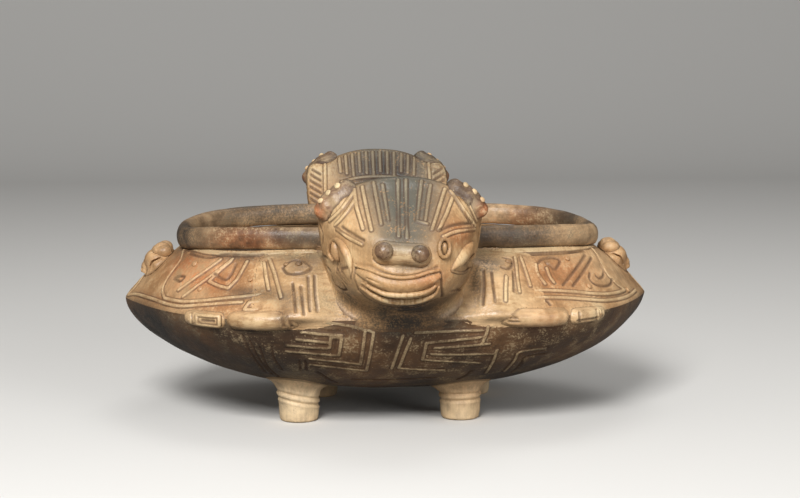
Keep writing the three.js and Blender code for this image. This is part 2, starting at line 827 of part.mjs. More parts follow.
function sideSnoutSolid(side) {
  const start = sideHeadPlace(side, sideSnoutSetOut, sideHeadLift / 2);
  const droop = sideSnoutDroop * degrees;
  const outward = new THREE.Vector3(side * Math.cos(droop), 0, -Math.sin(droop));
  const end = start.clone().addScaledVector(outward, sideSnoutLength);
  const snout = coilSolid(new THREE.LineCurve3(start, end), {
    height: sideSnoutRadius * 2, thickness: sideSnoutHalfWidth * 2, upAt: () => new THREE.Vector3(0, 0, 1),
    steps: 5, sides: 10, endShare: 0.3,
  });
  return cut(snout, sideHeadSolid(side, fitGap), bodyEnvelope);
}

function sideCrestSolid(side) {
  const lobes = [-1, 0, 1].map((share) => {
    const outer = Math.abs(share) * sideCrestStep;
    const place = sideHeadPlace(side, outer - sideCrestSetBack, sideCrestLift - outer);
    place.y = share * sideCrestSpacing;
    const halfSizes = [sideCrestRadius, sideCrestRadius, sideCrestHalfDepth];
    return lumpSolid(place, halfSizes, new THREE.Vector3(side, 0, 1), 0, 0, 8);
  });
  const crest = lobes.reduce((joined, lobe) => joined.add(lobe));
  return cut(crest, sideHeadSolid(side, fitGap), bodyEnvelope);
}

// Assembly

const fired = { roughness: 0.55, metalness: 0 };
const clay = (tone) => new THREE.MeshStandardMaterial({ color: clayColours[tone], ...fired });

function addPiece(group, name, tone, solid) {
  const mesh = new THREE.Mesh(toGeometry(solid), clay(tone));
  mesh.name = name;
  group.add(mesh);
}

// Front or rear half: its head, feet and limbs. Left and right are as seen from the front of the bowl.
function halfGroup(end) {
  const group = new THREE.Group();
  group.rotation.z = end === 'front' ? 0 : Math.PI;
  const grownUpperLip = lipSolid({ ...upperLip, grow: fitGap });
  addPiece(group, `${end}_head`, 'head', headCore);
  addPiece(group, `${end}_nose_bar`, 'nose', cut(noseBarSolid(0), grownHead));
  addPiece(group, `${end}_upper_lip`, 'head', cut(lipSolid(upperLip), grownHead));
  addPiece(group, `${end}_lower_lip`, 'head', cut(lipSolid(lowerLip), grownHead, grownUpperLip));
  for (const side of [-1, 1]) {
    const hand = (side < 0) === (end === 'front') ? 'left' : 'right';
    addPiece(group, `foot_${end}_${hand}`, 'foot', footSolid(side));
    addPiece(group, `${end}_nostril_${hand}`, 'nose', nostrilSolid(side));
    addPiece(group, `${end}_eye_${hand}`, 'head', eyeSolid(side));
    addPiece(group, `${end}_ear_${hand}`, 'darkRoll', cut(earSolid(side, 0), grownHead));
    earPelletPlaces.forEach((share, i) => {
      addPiece(group, `${end}_ear_pellet_${hand}_${i + 1}`, 'pellet', earPelletSolid(side, share));
    });
    addPiece(group, `upper_arm_${end}_${hand}`, 'limb', cut(upperArmSolid(side, 0), bodyEnvelope, grownHead));
    addPiece(group, `forearm_${end}_${hand}`, 'limb',
      cut(forearmSolid(side, 0), bodyEnvelope, upperArmSolid(side, fitGap)));
    addPiece(group, `paw_${end}_${hand}`, 'limb', pawSolid(side));
  }
  return group;
}

const bowl = new THREE.Group();
addPiece(bowl, 'lower_bowl', 'belly', lowerBowl);
addPiece(bowl, 'shoulder_wall', 'shoulder', shoulderWall);
addPiece(bowl, 'rim_coil', 'rim', rimCoil);
bowl.add(halfGroup('front'), halfGroup('rear'));
for (const [side, hand] of [[-1, 'left'], [1, 'right']]) {
  addPiece(bowl, `side_head_${hand}`, 'sideHead', cut(sideHeadSolid(side, 0), bodyEnvelope));
  addPiece(bowl, `side_snout_${hand}`, 'sideHead', sideSnoutSolid(side));
  addPiece(bowl, `side_crest_${hand}`, 'sideHead', sideCrestSolid(side));
}

export default bowl;
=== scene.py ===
import math
from functools import partial

import bpy
import numpy as np
from bpy.props import FloatProperty, FloatVectorProperty, PointerProperty
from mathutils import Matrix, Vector


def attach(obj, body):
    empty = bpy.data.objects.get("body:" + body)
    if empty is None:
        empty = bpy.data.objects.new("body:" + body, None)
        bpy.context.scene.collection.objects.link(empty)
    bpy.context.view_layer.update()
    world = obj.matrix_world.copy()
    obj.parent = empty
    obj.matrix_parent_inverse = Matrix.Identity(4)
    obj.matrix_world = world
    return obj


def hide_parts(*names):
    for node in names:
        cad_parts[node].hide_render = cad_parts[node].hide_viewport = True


bl_info = {
    "name": "Effigy bowl",
    "version": (1, 0, 0),
    "blender": (4, 5, 0),
    "location": "3D View > Sidebar > Effigy bowl",
    "description": "Finishes the solids of an effigy bowl as burnished, incised and smoked earthenware",
    "category": "Object",
}

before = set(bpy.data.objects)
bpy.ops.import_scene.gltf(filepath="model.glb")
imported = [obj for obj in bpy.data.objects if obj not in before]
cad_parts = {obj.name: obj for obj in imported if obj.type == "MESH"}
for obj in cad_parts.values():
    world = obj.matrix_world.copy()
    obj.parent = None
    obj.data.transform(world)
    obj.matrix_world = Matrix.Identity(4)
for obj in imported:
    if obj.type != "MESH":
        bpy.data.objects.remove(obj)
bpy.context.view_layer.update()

MM = 0.001
BODY = "root"

# Sizes of the frame's solids, in millimetres, which the finished clay follows
KEEL_HALF_WIDTH = 150.0
KEEL_HALF_DEPTH = 97.0
KEEL_FULLNESS = 4.35
POINT_BLUNTNESS = 1.05
BELLY_HALF_WIDTH = 144.0
BELLY_SQUARENESS = 2.15
POINT_FADE = 3.0
FLOOR_HEIGHT = 14.5
KEEL_HEIGHT = 65.0
WALL_THICKNESS = 6.5
KEEL_ROUNDING = 3.5
SHOULDER_BULGE = 1.5
BELLY_FLATNESS = 2.4
BELLY_TURN = 0.56
RIM_HALF_WIDTH = 121.0
RIM_HALF_DEPTH = 71.0
RIM_SQUARENESS = 2.6
RIM_END_HEIGHT = 107.0
RIM_SIDE_HEIGHT = 112.0
RIM_THICKNESS = 9.2
RIM_COIL_HEIGHT = 13.0
RIM_OVERHANG = 1.8
RIM_ROUNDNESS = 2 / 3
FOOT_SIDEWAYS = 45.4
FOOT_FORWARD = 37.0
FOOT_OFF_CENTRE = 7.1
SOLE_RADIUS = 10.5
ANKLE_RADIUS = 11.3
ANKLE_HEIGHT = 10.0
HEAD_HEIGHT = 77.5
HEAD_HALF_WIDTH = 43.5
MUZZLE_REACH = 68.0
HEAD_BACK_SLOPE = 0.6
HEAD_CREST_HALF_WIDTH = 24.0
EAR_THICKNESS = 8.6
EAR_DEPTH = 11.0
EAR_INNER = (30.0, 74.0)
EAR_OUTER = (44.5, 61.0)
EAR_SET_FORWARD = 5.0
EAR_SEAT = 3.6

# Roundings and blends of the heads, in millimetres
CREST_CLEARANCE = 0.3
CREST_DROP = 5.5
CREST_RUN = 26.0
CREST_POWER = 2.4
BACK_EDGE_BLEND = 3.5
CREST_EDGE_BLEND = 2.5
HEAD_BELOW_KEEL = 7.0
EAR_TOP_LIMIT = 142.3

# Spacing of the points of each kind of carved piece, and how deep the unevenness of hand-built clay goes
SPACING = {"head": 0.7, "foot": 0.7, "limb": 0.6, "paw": 0.5, "nose": 0.45, "eye": 0.4, "small": 0.42}
WAVES = {"wall": 0.7, "head": 0.5, "limb": 0.4, "side_head": 0.3}
WAVE_LENGTH = 17.0
SHORT_WAVE_LENGTH = 5.0

# Sections of the lines: half width of a cut, the burr beside it, half width of a ridge and the cuts beside
# it. LINE_REACH is how far off a line is still felt.
CUT_WIDTH, BURR_AT, BURR_WIDTH = 0.75, 1.6, 0.6
RIDGE_WIDTH, FLANK_AT, FLANK_WIDTH = 0.9, 1.55, 0.45
LINE_REACH = 5.0

# Painted shade darkens a luted joint up to this height in millimetres
JOINT_HEIGHT = 1.0

# The finished rim: how round its section is, where 1 makes an oval, its sides, and how far apart and how
# deep the potter's pinches are, in metres
RIM_SOFTNESS = 0.9
RIM_SIDES = 44
PINCH_LENGTH = 0.016
PINCH_DEPTH = 0.0009

# Sides of a mesh that meet at more than this many degrees keep a sharp edge
SHARP_ANGLE = 62.0

# The photograph's camera: turn and pitch in degrees, places in metres, lens and sensor in millimetres
CAMERA_TURN = 4.41
CAMERA_PITCH = 6.86
CAMERA_AWAY = 1.1922
CAMERA_ASIDE = 0.00721
CAMERA_HEIGHT = 0.2349
CAMERA_LENS = 93.9
CAMERA_SENSOR = 36.0

# Level plans of the head: share of its height, share of its half width, and how far its sides and its
# front stand out past the rim as shares of the muzzle's reach, then how square the front is
HEAD_SHAPE = (
    (-0.09, 0.69, 0.235, 0.338, 2.4),
    (0.077, 0.713, 0.265, 0.49, 2.4),
    (0.162, 0.736, 0.294, 0.67, 2.6),
    (0.205, 0.776, 0.305, 0.905, 2.8),
    (0.235, 0.8, 0.31, 0.96, 2.8),
    (0.284, 0.851, 0.324, 0.985, 2.9),
    (0.361, 0.908, 0.338, 1.0, 3.0),
    (0.516, 0.966, 0.353, 0.971, 3.0),
    (0.606, 0.989, 0.353, 0.941, 3.0),
    (0.697, 1.0, 0.368, 0.838, 3.4),
    (0.774, 1.0, 0.382, 0.735, 4.0),
    (0.852, 1.0, 0.397, 0.632, 4.4),
    (0.916, 1.0, 0.419, 0.559, 5.0),
    (0.968, 1.0, 0.434, 0.529, 6.0),
    (1.0, 1.0, 0.441, 0.5, 6.0),
)


def linear(hex_colour):
    """An sRGB hex colour as linear red, green and blue."""
    values = [int(hex_colour[i:i + 2], 16) / 255 for i in (1, 3, 5)]
    return tuple(v / 12.92 if v <= 0.04045 else ((v + 0.055) / 1.055) ** 2.4 for v in values)


# Shapes of the bowl, as radii and heights in millimetres at angles about Z

def oval_radius(angle, half_width, half_depth, width_power, depth_power=None):
    """Radius of a squarish oval at angles about Z, found in a few steps of Newton's method."""
    depth_power = depth_power or width_power
    across = np.abs(np.cos(angle)) / half_width
    along = np.abs(np.sin(angle)) / half_depth
    radius = 1 / np.maximum(across, along)
    for _ in range(14):
        across_term = (radius * across) ** width_power
        along_term = (radius * along) ** depth_power
        slope = (width_power * across_term + depth_power * along_term) / radius
        radius = radius - (across_term + along_term - 1) / slope
    return radius


def keel_radius(angle, inset=0.0):
    """Radius of the keel, drawn out to its two points."""
    return oval_radius(
        angle, KEEL_HALF_WIDTH - inset, KEEL_HALF_DEPTH - inset, KEEL_FULLNESS, POINT_BLUNTNESS)


def belly_radius(angle, inset=0.0):
    """Radius of the plain oval that the belly has near its floor."""
    return oval_radius(angle, BELLY_HALF_WIDTH - inset, KEEL_HALF_DEPTH - inset, BELLY_SQUARENESS)


def rim_radius(angle, inset=0.0):
    """Radius of the outside of the rim."""
    return oval_radius(angle, RIM_HALF_WIDTH - inset, RIM_HALF_DEPTH - inset, RIM_SQUARENESS)


def rim_height(angle):
    """Height of the rim's top, which dips towards the two ends."""
    across = rim_radius(angle) * np.sin(angle) / RIM_HALF_DEPTH
    share = 1 - (1 - np.clip(across ** 2, 0, 1)) ** 2
    return RIM_END_HEIGHT + (RIM_SIDE_HEIGHT - RIM_END_HEIGHT) * share


def mix(a, b, share):
    return a + (b - a) * share


def read_grid(table, cell, share):
    """Values of a table at shares of the way through its cells."""
    (i, j, k), (u, v, w) = cell, share

    def up(i, j):
        return mix(table[i, j, k], table[i, j, k + 1], w)

    return mix(mix(up(i, j), up(i, j + 1), v), mix(up(i + 1, j), up(i + 1, j + 1), v), u)


def belly_points(angle, rises, bottom, inset):
    """Radius and height of the belly at each angle and each share of the way from floor to keel."""
    share = (1 - (1 - rises) ** (1 / BELLY_TURN)) ** (1 / BELLY_FLATNESS)
    a = angle[:, None]
    radius = share * mix(belly_radius(a, inset), keel_radius(a, inset), share ** POINT_FADE)
    height = np.broadcast_to(mix(bottom, KEEL_HEIGHT, rises), radius.shape)
    return np.stack([radius, height], -1)


def slope_points(foot, neck, rises):
    """A slightly bulging slope between two edges, each a radius and a height at every angle."""
    bulge = SHOULDER_BULGE * np.sin(np.pi * rises) * math.sqrt(0.5)
    return np.stack([
        mix(foot[0][:, None], neck[0][:, None], rises) + bulge,
        mix(foot[1][:, None], neck[1][:, None], rises) + bulge,
    ], -1)


def neck_height(angle):
    """Height of the neck, which the coil of the rim lies on."""
    return rim_height(angle) - RIM_COIL_HEIGHT


def shoulder_points(angle, rises):
    """The outside of the shoulder at each angle and each share of the way up."""
    drop = KEEL_ROUNDING * (1 - math.sqrt(0.5))
    foot = (keel_radius(angle, drop), np.full(angle.shape, KEEL_HEIGHT + KEEL_ROUNDING * math.sqrt(0.5)))
    neck = (rim_radius(angle, RIM_OVERHANG), neck_height(angle))
    return slope_points(foot, neck, rises)


def keel_edge_points(angle, count):
    """The rounded edge of the keel, up to where the shoulder starts."""
    turn = np.linspace(0, math.radians(45), count + 1)[:-1]
    radius = keel_radius(angle)[:, None] - KEEL_ROUNDING * (1 - np.cos(turn))
    height = np.broadcast_to(KEEL_HEIGHT + KEEL_ROUNDING * np.sin(turn), radius.shape)
    return np.stack([radius, height], -1)


def inner_wall_points(angle, rises):
    """The inside of the shoulder at each angle and each share of the way up."""
    foot = (keel_radius(angle, WALL_THICKNESS * math.sqrt(2)), np.full(angle.shape, KEEL_HEIGHT))
    neck = (rim_radius(angle, RIM_OVERHANG + WALL_THICKNESS), neck_height(angle))
    return slope_points(foot, neck, rises)


def rim_points(angle, turn):
    """Section of the rim coil, where turn 0 points outwards."""
    middle = rim_height(angle)[:, None] - RIM_COIL_HEIGHT / 2
    out = np.sign(np.cos(turn)) * np.abs(np.cos(turn)) ** RIM_ROUNDNESS * RIM_THICKNESS / 2
    up = np.sign(np.sin(turn)) * np.abs(np.sin(turn)) ** RIM_ROUNDNESS * RIM_COIL_HEIGHT / 2
    radius = rim_radius(angle)[:, None] - RIM_THICKNESS / 2 + out
    return np.stack([radius, middle + up], -1)


def around(count, crowding):
    """Angles about Z, crowded towards the two points."""
    even = np.arange(count) / count * 2 * np.pi
    return even - crowding * np.sin(2 * even) / 2


def place(angle, points):
    """Radius and height pairs at each angle as places in space."""
    a = angle[:, None]
    return np.stack([points[..., 0] * np.cos(a), points[..., 0] * np.sin(a), points[..., 1]], -1)


class BowlField:
    """Signed distance to the outside of the bowl, from a table over angle, radius and height."""

    def __init__(self):
        self.angles = np.radians(np.linspace(0, 90, 46))
        self.radii = np.arange(0.0, 176.0, 1.0)
        self.heights = np.arange(6.0, 126.0, 1.0)
        profile = np.concatenate([
            belly_points(self.angles, 1 - np.cos(np.linspace(0, 1, 25) * np.pi / 2), FLOOR_HEIGHT, 0),
            keel_edge_points(self.angles, 3)[:, 1:],
            shoulder_points(self.angles, np.linspace(0, 1, 11)),
            rim_points(self.angles, np.radians(np.linspace(-72, 90, 14))),
        ], 1)
        r, z = np.meshgrid(self.radii, self.heights, indexing="ij")
        table = []
        for row in profile:
            near = np.full(r.shape, 1e9)
            for (r0, z0), (r1, z1) in zip(row[:-1], row[1:]):
                dr, dz = r1 - r0, z1 - z0
                share = np.clip(((r - r0) * dr + (z - z0) * dz) / (dr * dr + dz * dz + 1e-9), 0, 1)
                near = np.minimum(near, (r - r0 - share * dr) ** 2 + (z - z0 - share * dz) ** 2)
            edge = np.interp(self.heights, row[:, 1], row[:, 0], left=0, right=0)
            inside = (r < edge[None, :]) & (z > row[0, 1])
            table.append(np.where(inside, -1, 1) * np.sqrt(near))
        self.table = np.array(table, np.float32)

    def __call__(self, x, y, z):
        x, y, z = np.broadcast_arrays(x, y, z)
        radius = np.hypot(x, y)
        angle = np.arctan2(np.abs(y), np.abs(x))
        cell, share = [], []
        for value, axis in ((angle, self.angles), (radius, self.radii), (z, self.heights)):
            spot = np.clip((value - axis[0]) / (axis[1] - axis[0]), 0, len(axis) - 1.001)
            low = spot.astype(np.int32)
            cell.append(low)
            share.append((spot - low).astype(np.float32))
        return read_grid(self.table, cell, share)


# Lumps of clay as signed distances in millimetres, below nought inside

def union(a, b, blend):
    """Two lumps as one, with the corner between them filled over a blend."""
    share = np.clip(0.5 + 0.5 * (b - a) / blend, 0, 1)
    return mix(b, a, share) - blend * share * (1 - share)


def overlap(a, b, blend):
    """What two lumps share, with its edge rounded over a blend."""
    return -union(-a, -b, blend)


def ball(x, y, z, centre, radii, tilt=0.0):
    """An oval lump. tilt turns it in degrees about the Y axis, from up towards +X."""
    dx, dy, dz = x - centre[0], y - centre[1], z - centre[2]
    c, s = math.cos(math.radians(tilt)), math.sin(math.radians(tilt))
    u, v, w = (c * dx - s * dz) / radii[0], dy / radii[1], (s * dx + c * dz) / radii[2]
    size = np.sqrt(u * u + v * v + w * w) + 1e-6
    slope = np.sqrt((u / radii[0]) ** 2 + (v / radii[1]) ** 2 + (w / radii[2]) ** 2) + 1e-6
    return size * (size - 1) / slope


def coil(x, y, z, points, radii, flat=(1.0, 1.0, 1.0)):
    """A coil of clay through points, with a radius at each. flat squeezes it along X, Y and Z."""
    near = None
    fx, fy, fz = flat
    for (p, q, a, b) in zip(points[:-1], points[1:], radii[:-1], radii[1:]):
        d = [(q[i] - p[i]) / flat[i] for i in range(3)]
        ux, uy, uz = (x - p[0]) / fx, (y - p[1]) / fy, (z - p[2]) / fz
        share = np.clip((ux * d[0] + uy * d[1] + uz * d[2]) / (d[0] ** 2 + d[1] ** 2 + d[2] ** 2), 0, 1)
        gap = np.sqrt((ux - share * d[0]) ** 2 + (uy - share * d[1]) ** 2 + (uz - share * d[2]) ** 2)
        gap = (gap - mix(a, b, share)) * min(flat)
        near = gap if near is None else np.minimum(near, gap)
    return near


def smooth_path(points, steps=8):
    """Points on a smooth curve through the given ones, with any values that ride along."""
    p = np.asarray(points, float)
    p = np.vstack([2 * p[0] - p[1], p, 2 * p[-1] - p[-2]])
    out = []
    for i in range(1, len(p) - 2):
        for t in np.arange(steps) / steps:
            a, b, c, d = p[i - 1:i + 3]
            out.append(0.5 * (2 * b + (c - a) * t + (2 * a - 5 * b + 4 * c - d) * t ** 2
                              + (3 * b - a - 3 * c + d) * t ** 3))
    out.append(p[-2])
    return np.array(out)


def head_sections(z):
    """Half width, side, front and squareness of the head at heights z."""
    rises = np.array([row[0] for row in HEAD_SHAPE]) * HEAD_HEIGHT + KEEL_HEIGHT
    share = (rises - KEEL_HEIGHT - EAR_OUTER[1]) / (EAR_INNER[1] - EAR_OUTER[1])
    corner = np.maximum(HEAD_CREST_HALF_WIDTH, mix(EAR_OUTER[0], EAR_INNER[0], share) + EAR_SEAT)
    values = np.array([[row[1] * HEAD_HALF_WIDTH, row[2] * MUZZLE_REACH, row[3] * MUZZLE_REACH, row[4]]
                       for row in HEAD_SHAPE])
    values[:, 0] = np.minimum(values[:, 0], corner)
    fine = np.arange(40.0, 160.0, 0.5)
    weights = np.exp(-0.5 * (np.arange(-8, 9) * 0.5 / 1.6) ** 2)
    weights /= weights.sum()
    out = []
    for column in values.T:
        level = np.interp(fine, rises, column)
        out.append(np.interp(z, fine, np.convolve(np.pad(level, 8, mode="edge"), weights, "valid")))
    return out


def head_back(z):
    """How far from the middle of the bowl the head's sloping back stands at heights z."""
    return RIM_HALF_DEPTH + HEAD_BACK_SLOPE * np.maximum(0, z - (RIM_SIDE_HEIGHT - RIM_COIL_HEIGHT))


def face_depth(x, z):
    """How far forward the face stands at a place across and up."""
    half, side, front, square = head_sections(z)
    bow = 1 - np.clip(np.abs(x) / half, 0, 1) ** square
    return RIM_HALF_DEPTH + side + (front - side) * bow


def head_field(x, y, z):
    """The bare head, before its features, facing -Y."""
    half, side, front, square = head_sections(z)
    v = -y
    past = np.maximum(0, v - RIM_HALF_DEPTH - side) / (front - side)
    value = (np.abs(x) / half) ** square + past - 1
    slopes = np.gradient(value, x.ravel(), y.ravel(), z.ravel())
    face = value / (np.sqrt(slopes[0] ** 2 + slopes[1] ** 2 + slopes[2] ** 2) + 1e-4)
    face = np.clip(face, -12, 12)
    back = (head_back(z) - v) / math.hypot(1, HEAD_BACK_SLOPE)
    drop = CREST_DROP * np.minimum(1.15, np.abs(x) / CREST_RUN) ** CREST_POWER
    crest = z - (KEEL_HEIGHT + HEAD_HEIGHT - CREST_CLEARANCE - drop)
    field = overlap(face, back, BACK_EDGE_BLEND)
    field = overlap(field, crest, CREST_EDGE_BLEND)
    return np.maximum(field, KEEL_HEIGHT - HEAD_BELOW_KEEL - z)


def luted(field, ground, blend, sink=0.8):
    """A piece pressed onto another, with the joint smoothed over and the part inside the other cut off."""
    joined = union(field, ground, blend)
    return np.maximum(np.maximum(joined, -(ground + sink)), joined - ground + 0.04)


# Incised and raised lines, as places across and up on the front of the clay. A ridge is a raised strip
# between two cuts and a cut is a single groove; a curved one runs smoothly through its places.

# The strip under the neck, left and right, is laid twice, one above the other
NECK_STRIPS = (
    ((-122, 95.4), (-111.5, 96.9), (-101.7, 96.0), (-82.4, 96.8), (-62.6, 97.9), (-45, 98.4)),
    ((43.5, 99.3), (54.5, 98.1), (68.2, 97.3), (90.2, 96.8), (107.2, 96.3), (116.3, 95.8)),
)
NECK_STRIP_RISE = 1.1

SHOULDER_LINES = {
    "ridge curve": tuple(
        tuple((across, up + rise) for across, up in strip)
        for strip in NECK_STRIPS for rise in (0, NECK_STRIP_RISE)
    ) + (
        ((-116.3, 95.2), (-117.8, 90.9), (-121.4, 86.2), (-124.3, 82.3), (-127.1, 77.6), (-127.8, 74),
         (-126.5, 71.2)),
        ((-126.5, 71.2), (-116.9, 71.2), (-104.8, 73), (-92.1, 75.4), (-77.2, 77.5), (-67, 79.4)),
        ((-148.4, 67), (-142.8, 69), (-133.8, 69.4), (-126, 68.8), (-116.8, 68.9), (-104.7, 71),
         (-92.1, 73), (-84, 73.9)),
        ((-148.9, 66.9), (-145, 70.8), (-141.3, 75.5), (-139.5, 78.5)),
        ((113.7, 94.7), (116, 91.6), (118.1, 86.2), (120.7, 81.3), (126.5, 75.6), (131.2, 72.2)),
        ((76.2, 91), (76.4, 87.1), (78.2, 83.8), (80.2, 81.1)), ((82.4, 88.6), (83.4, 84.6), (85.4, 81.5)),
        ((62.8, 77.4), (71.4, 78.4), (83.6, 77.7), (97, 76.2), (109.4, 73.9), (118.2, 72.4), (127.3, 71.6),
         (132.4, 71.6)),
        ((62.8, 74.4), (72.6, 75), (90.2, 73.8), (102.3, 72.1), (115, 69.8), (125.4, 68.6), (134.8, 68.2),
         (141.3, 68.9)),
        ((139.8, 78.2), (143, 73.8), (146.8, 69.4), (149, 66.4)),
    ),
    "ridge": (
        ((-118.6, 76.4), (-108.1, 84.4), (-95.2, 93.6)),
        ((-116, 73.6), (-108, 79.9), (-100.8, 85.2), (-88.8, 94.3)),
        ((-101.6, 82.6), (-95.2, 88.7), (-89.6, 93.2)),
        ((-101.6, 82.6), (-96.8, 80.9), (-91.3, 80), (-86.5, 84.6), (-82.5, 90.8), (-80.9, 93.6)),
        ((-73.4, 93.2), (-71.5, 87), (-70.1, 81.6)), ((-69.4, 95.4), (-66.8, 88.5), (-63.2, 77.3)),
        ((-82.7, 70.5), (-80, 74), (-65.6, 74.9), (-66.8, 71), (-82.7, 70.3)),
        ((-41.4, 89.7), (-40.9, 78.8), (-39.3, 68.1)), ((64.8, 95.9), (64.8, 93.4), (64.6, 85.7), (65, 79)),
        ((68.2, 95), (69.8, 88.4), (72, 80.9)), ((58.4, 87.4), (57.4, 81), (56.5, 74.8)),
    ),
    "cut curve": (
        ((-98.6, 86.4), (-94, 84.3), (-91.5, 84.6), (-88.9, 88), (-87, 92)),
        ((-121.7, 81.5), (-118.7, 83), (-115.4, 83.2), (-117.9, 80.7), (-121.7, 81.5)),
        ((-113, 94.6), (-102, 93.9), (-92, 96.2), (-80, 96.3), (-72, 96.8)),
        ((-65.1, 92.4), (-61.1, 95.2), (-55.9, 96.1), (-50.1, 95.4), (-46.6, 92.6), (-50.3, 90.4),
         (-56.2, 89.3), (-62.1, 89.6), (-65.1, 92.4)),
        ((69.8, 95.6), (81.9, 95.4), (95, 95.2), (107.5, 95)),
        ((77.6, 91.4), (80.5, 93), (86.2, 93.4), (90.8, 92), (89.3, 89.5), (87.2, 88), (84.4, 89.8),
         (82.4, 91.4)),
        ((116.6, 86.4), (118.2, 83.2), (117.2, 81), (114.5, 80.7), (112.5, 82.2)),
        ((108.8, 84.1), (108.1, 81.5), (110, 79), (114.7, 76.9), (120.3, 76.2), (123.3, 77.6),
         (122.8, 79.6)),
        ((72.2, 71.9), (74.7, 73), (77.8, 73.2), (80.4, 72.7), (81.9, 70.9)),
        ((57, 91), (60.8, 90), (63.4, 91.6), (63, 94.6), (60.3, 96.1)),
    ),
    "cut": (
        ((-56.4, 85), (-55.8, 77.4), (-54.7, 71.5)), ((-52.6, 82.5), (-52, 75.9), (-51.4, 69.2)),
        ((-48.6, 87.2), (-48.4, 78.8), (-48, 70.8)), ((-45, 88.7), (-45, 78.9), (-44, 67.5)),
        ((-38, 84.1), (-37, 74.6), (-33.7, 68.1)), ((90.7, 80), (98.8, 86.1), (107.9, 93)),
        ((96.7, 79.1), (103.6, 84.4), (111.8, 91.1)), ((50.1, 88.7), (50.2, 82.2), (50.7, 74.3)),
        ((54.4, 87.7), (53.9, 81.2), (53.9, 73.3)), ((60.2, 79), (61.3, 83.8), (62.2, 88.9)),
        ((46.8, 91.3), (45.6, 82.3), (44.2, 72.8)),
    ),
}

BELLY_LINES = {
    "ridge": (
        ((-52.6, 58.7), (-41.8, 57.7), (-31, 56.9)), ((-55.3, 54.6), (-46.1, 53.6), (-38.2, 52.8)),
        ((-60.6, 51), (-48.2, 49.9), (-38.6, 49.2)),
        ((-60.6, 47.2), (-46, 46.1), (-32.4, 44.8), (-31.2, 55.6), (-36.9, 56), (-37.6, 49.4)),
        ((-48, 42.8), (-33.9, 41), (-20.6, 39), (-18.8, 59)),
        ((-47.9, 39), (-33.7, 36.8), (-17, 34.4), (-14.2, 58.4)), ((1.6, 56.4), (-0.8, 47.5), (-3.4, 35.6)),
        ((5.8, 54.6), (2.9, 45.6), (0.5, 35.8), (11.7, 34.9), (25.5, 34)),
        ((8, 57.9), (23.4, 58.3), (44.1, 58.9)),
        ((43.3, 54.7), (30.2, 53.5), (14.2, 51.9), (13.5, 46.7), (12.7, 41.6), (28.9, 40), (44.7, 38.3)),
        ((48.4, 50.5), (32.6, 49.6), (18.6, 48.8)), ((17, 45.2), (33, 44.4), (50.9, 44.1)),
        ((47.2, 61.5), (46.2, 56.3), (44.6, 51.6)), ((53, 46.7), (51.9, 39), (49.3, 30.6)),
    ),
    "cut": (
        ((-34.2, 53.9), (-34.7, 47.9)), ((-53.5, 41.1), (-52.6, 34.7)), ((-50.3, 41.4), (-49.3, 34.9)),
        ((-24, 28), (-8, 27.2), (8, 27.4), (22, 28.2)),
    ),
    "ridge curve": (
        ((-43.3, 64.4), (-31, 63), (-22.4, 61), (-15.3, 59)),
        ((80.6, 46.1), (72.5, 45.5), (65.5, 44.3), (64, 39.1), (60, 30.8)),
    ),
    "cut curve": (
        ((80.6, 42.1), (72.5, 41.3), (69, 40.2), (68.2, 36), (65.3, 28.7)),
        ((-84, 56), (-79.4, 44.8), (-71.6, 31.4)), ((-80.2, 53.3), (-75.4, 41.8), (-68, 29.4)),
        ((-74.8, 49.3), (-70.9, 37.2), (-64, 27.1)), ((-68.3, 49.9), (-67.1, 42.3), (-62.7, 34.4)),
        ((-43.3, 33.2), (-36.3, 27), (-31.6, 24.3)), ((34, 26), (38, 29), (41, 33)),
    ),
}

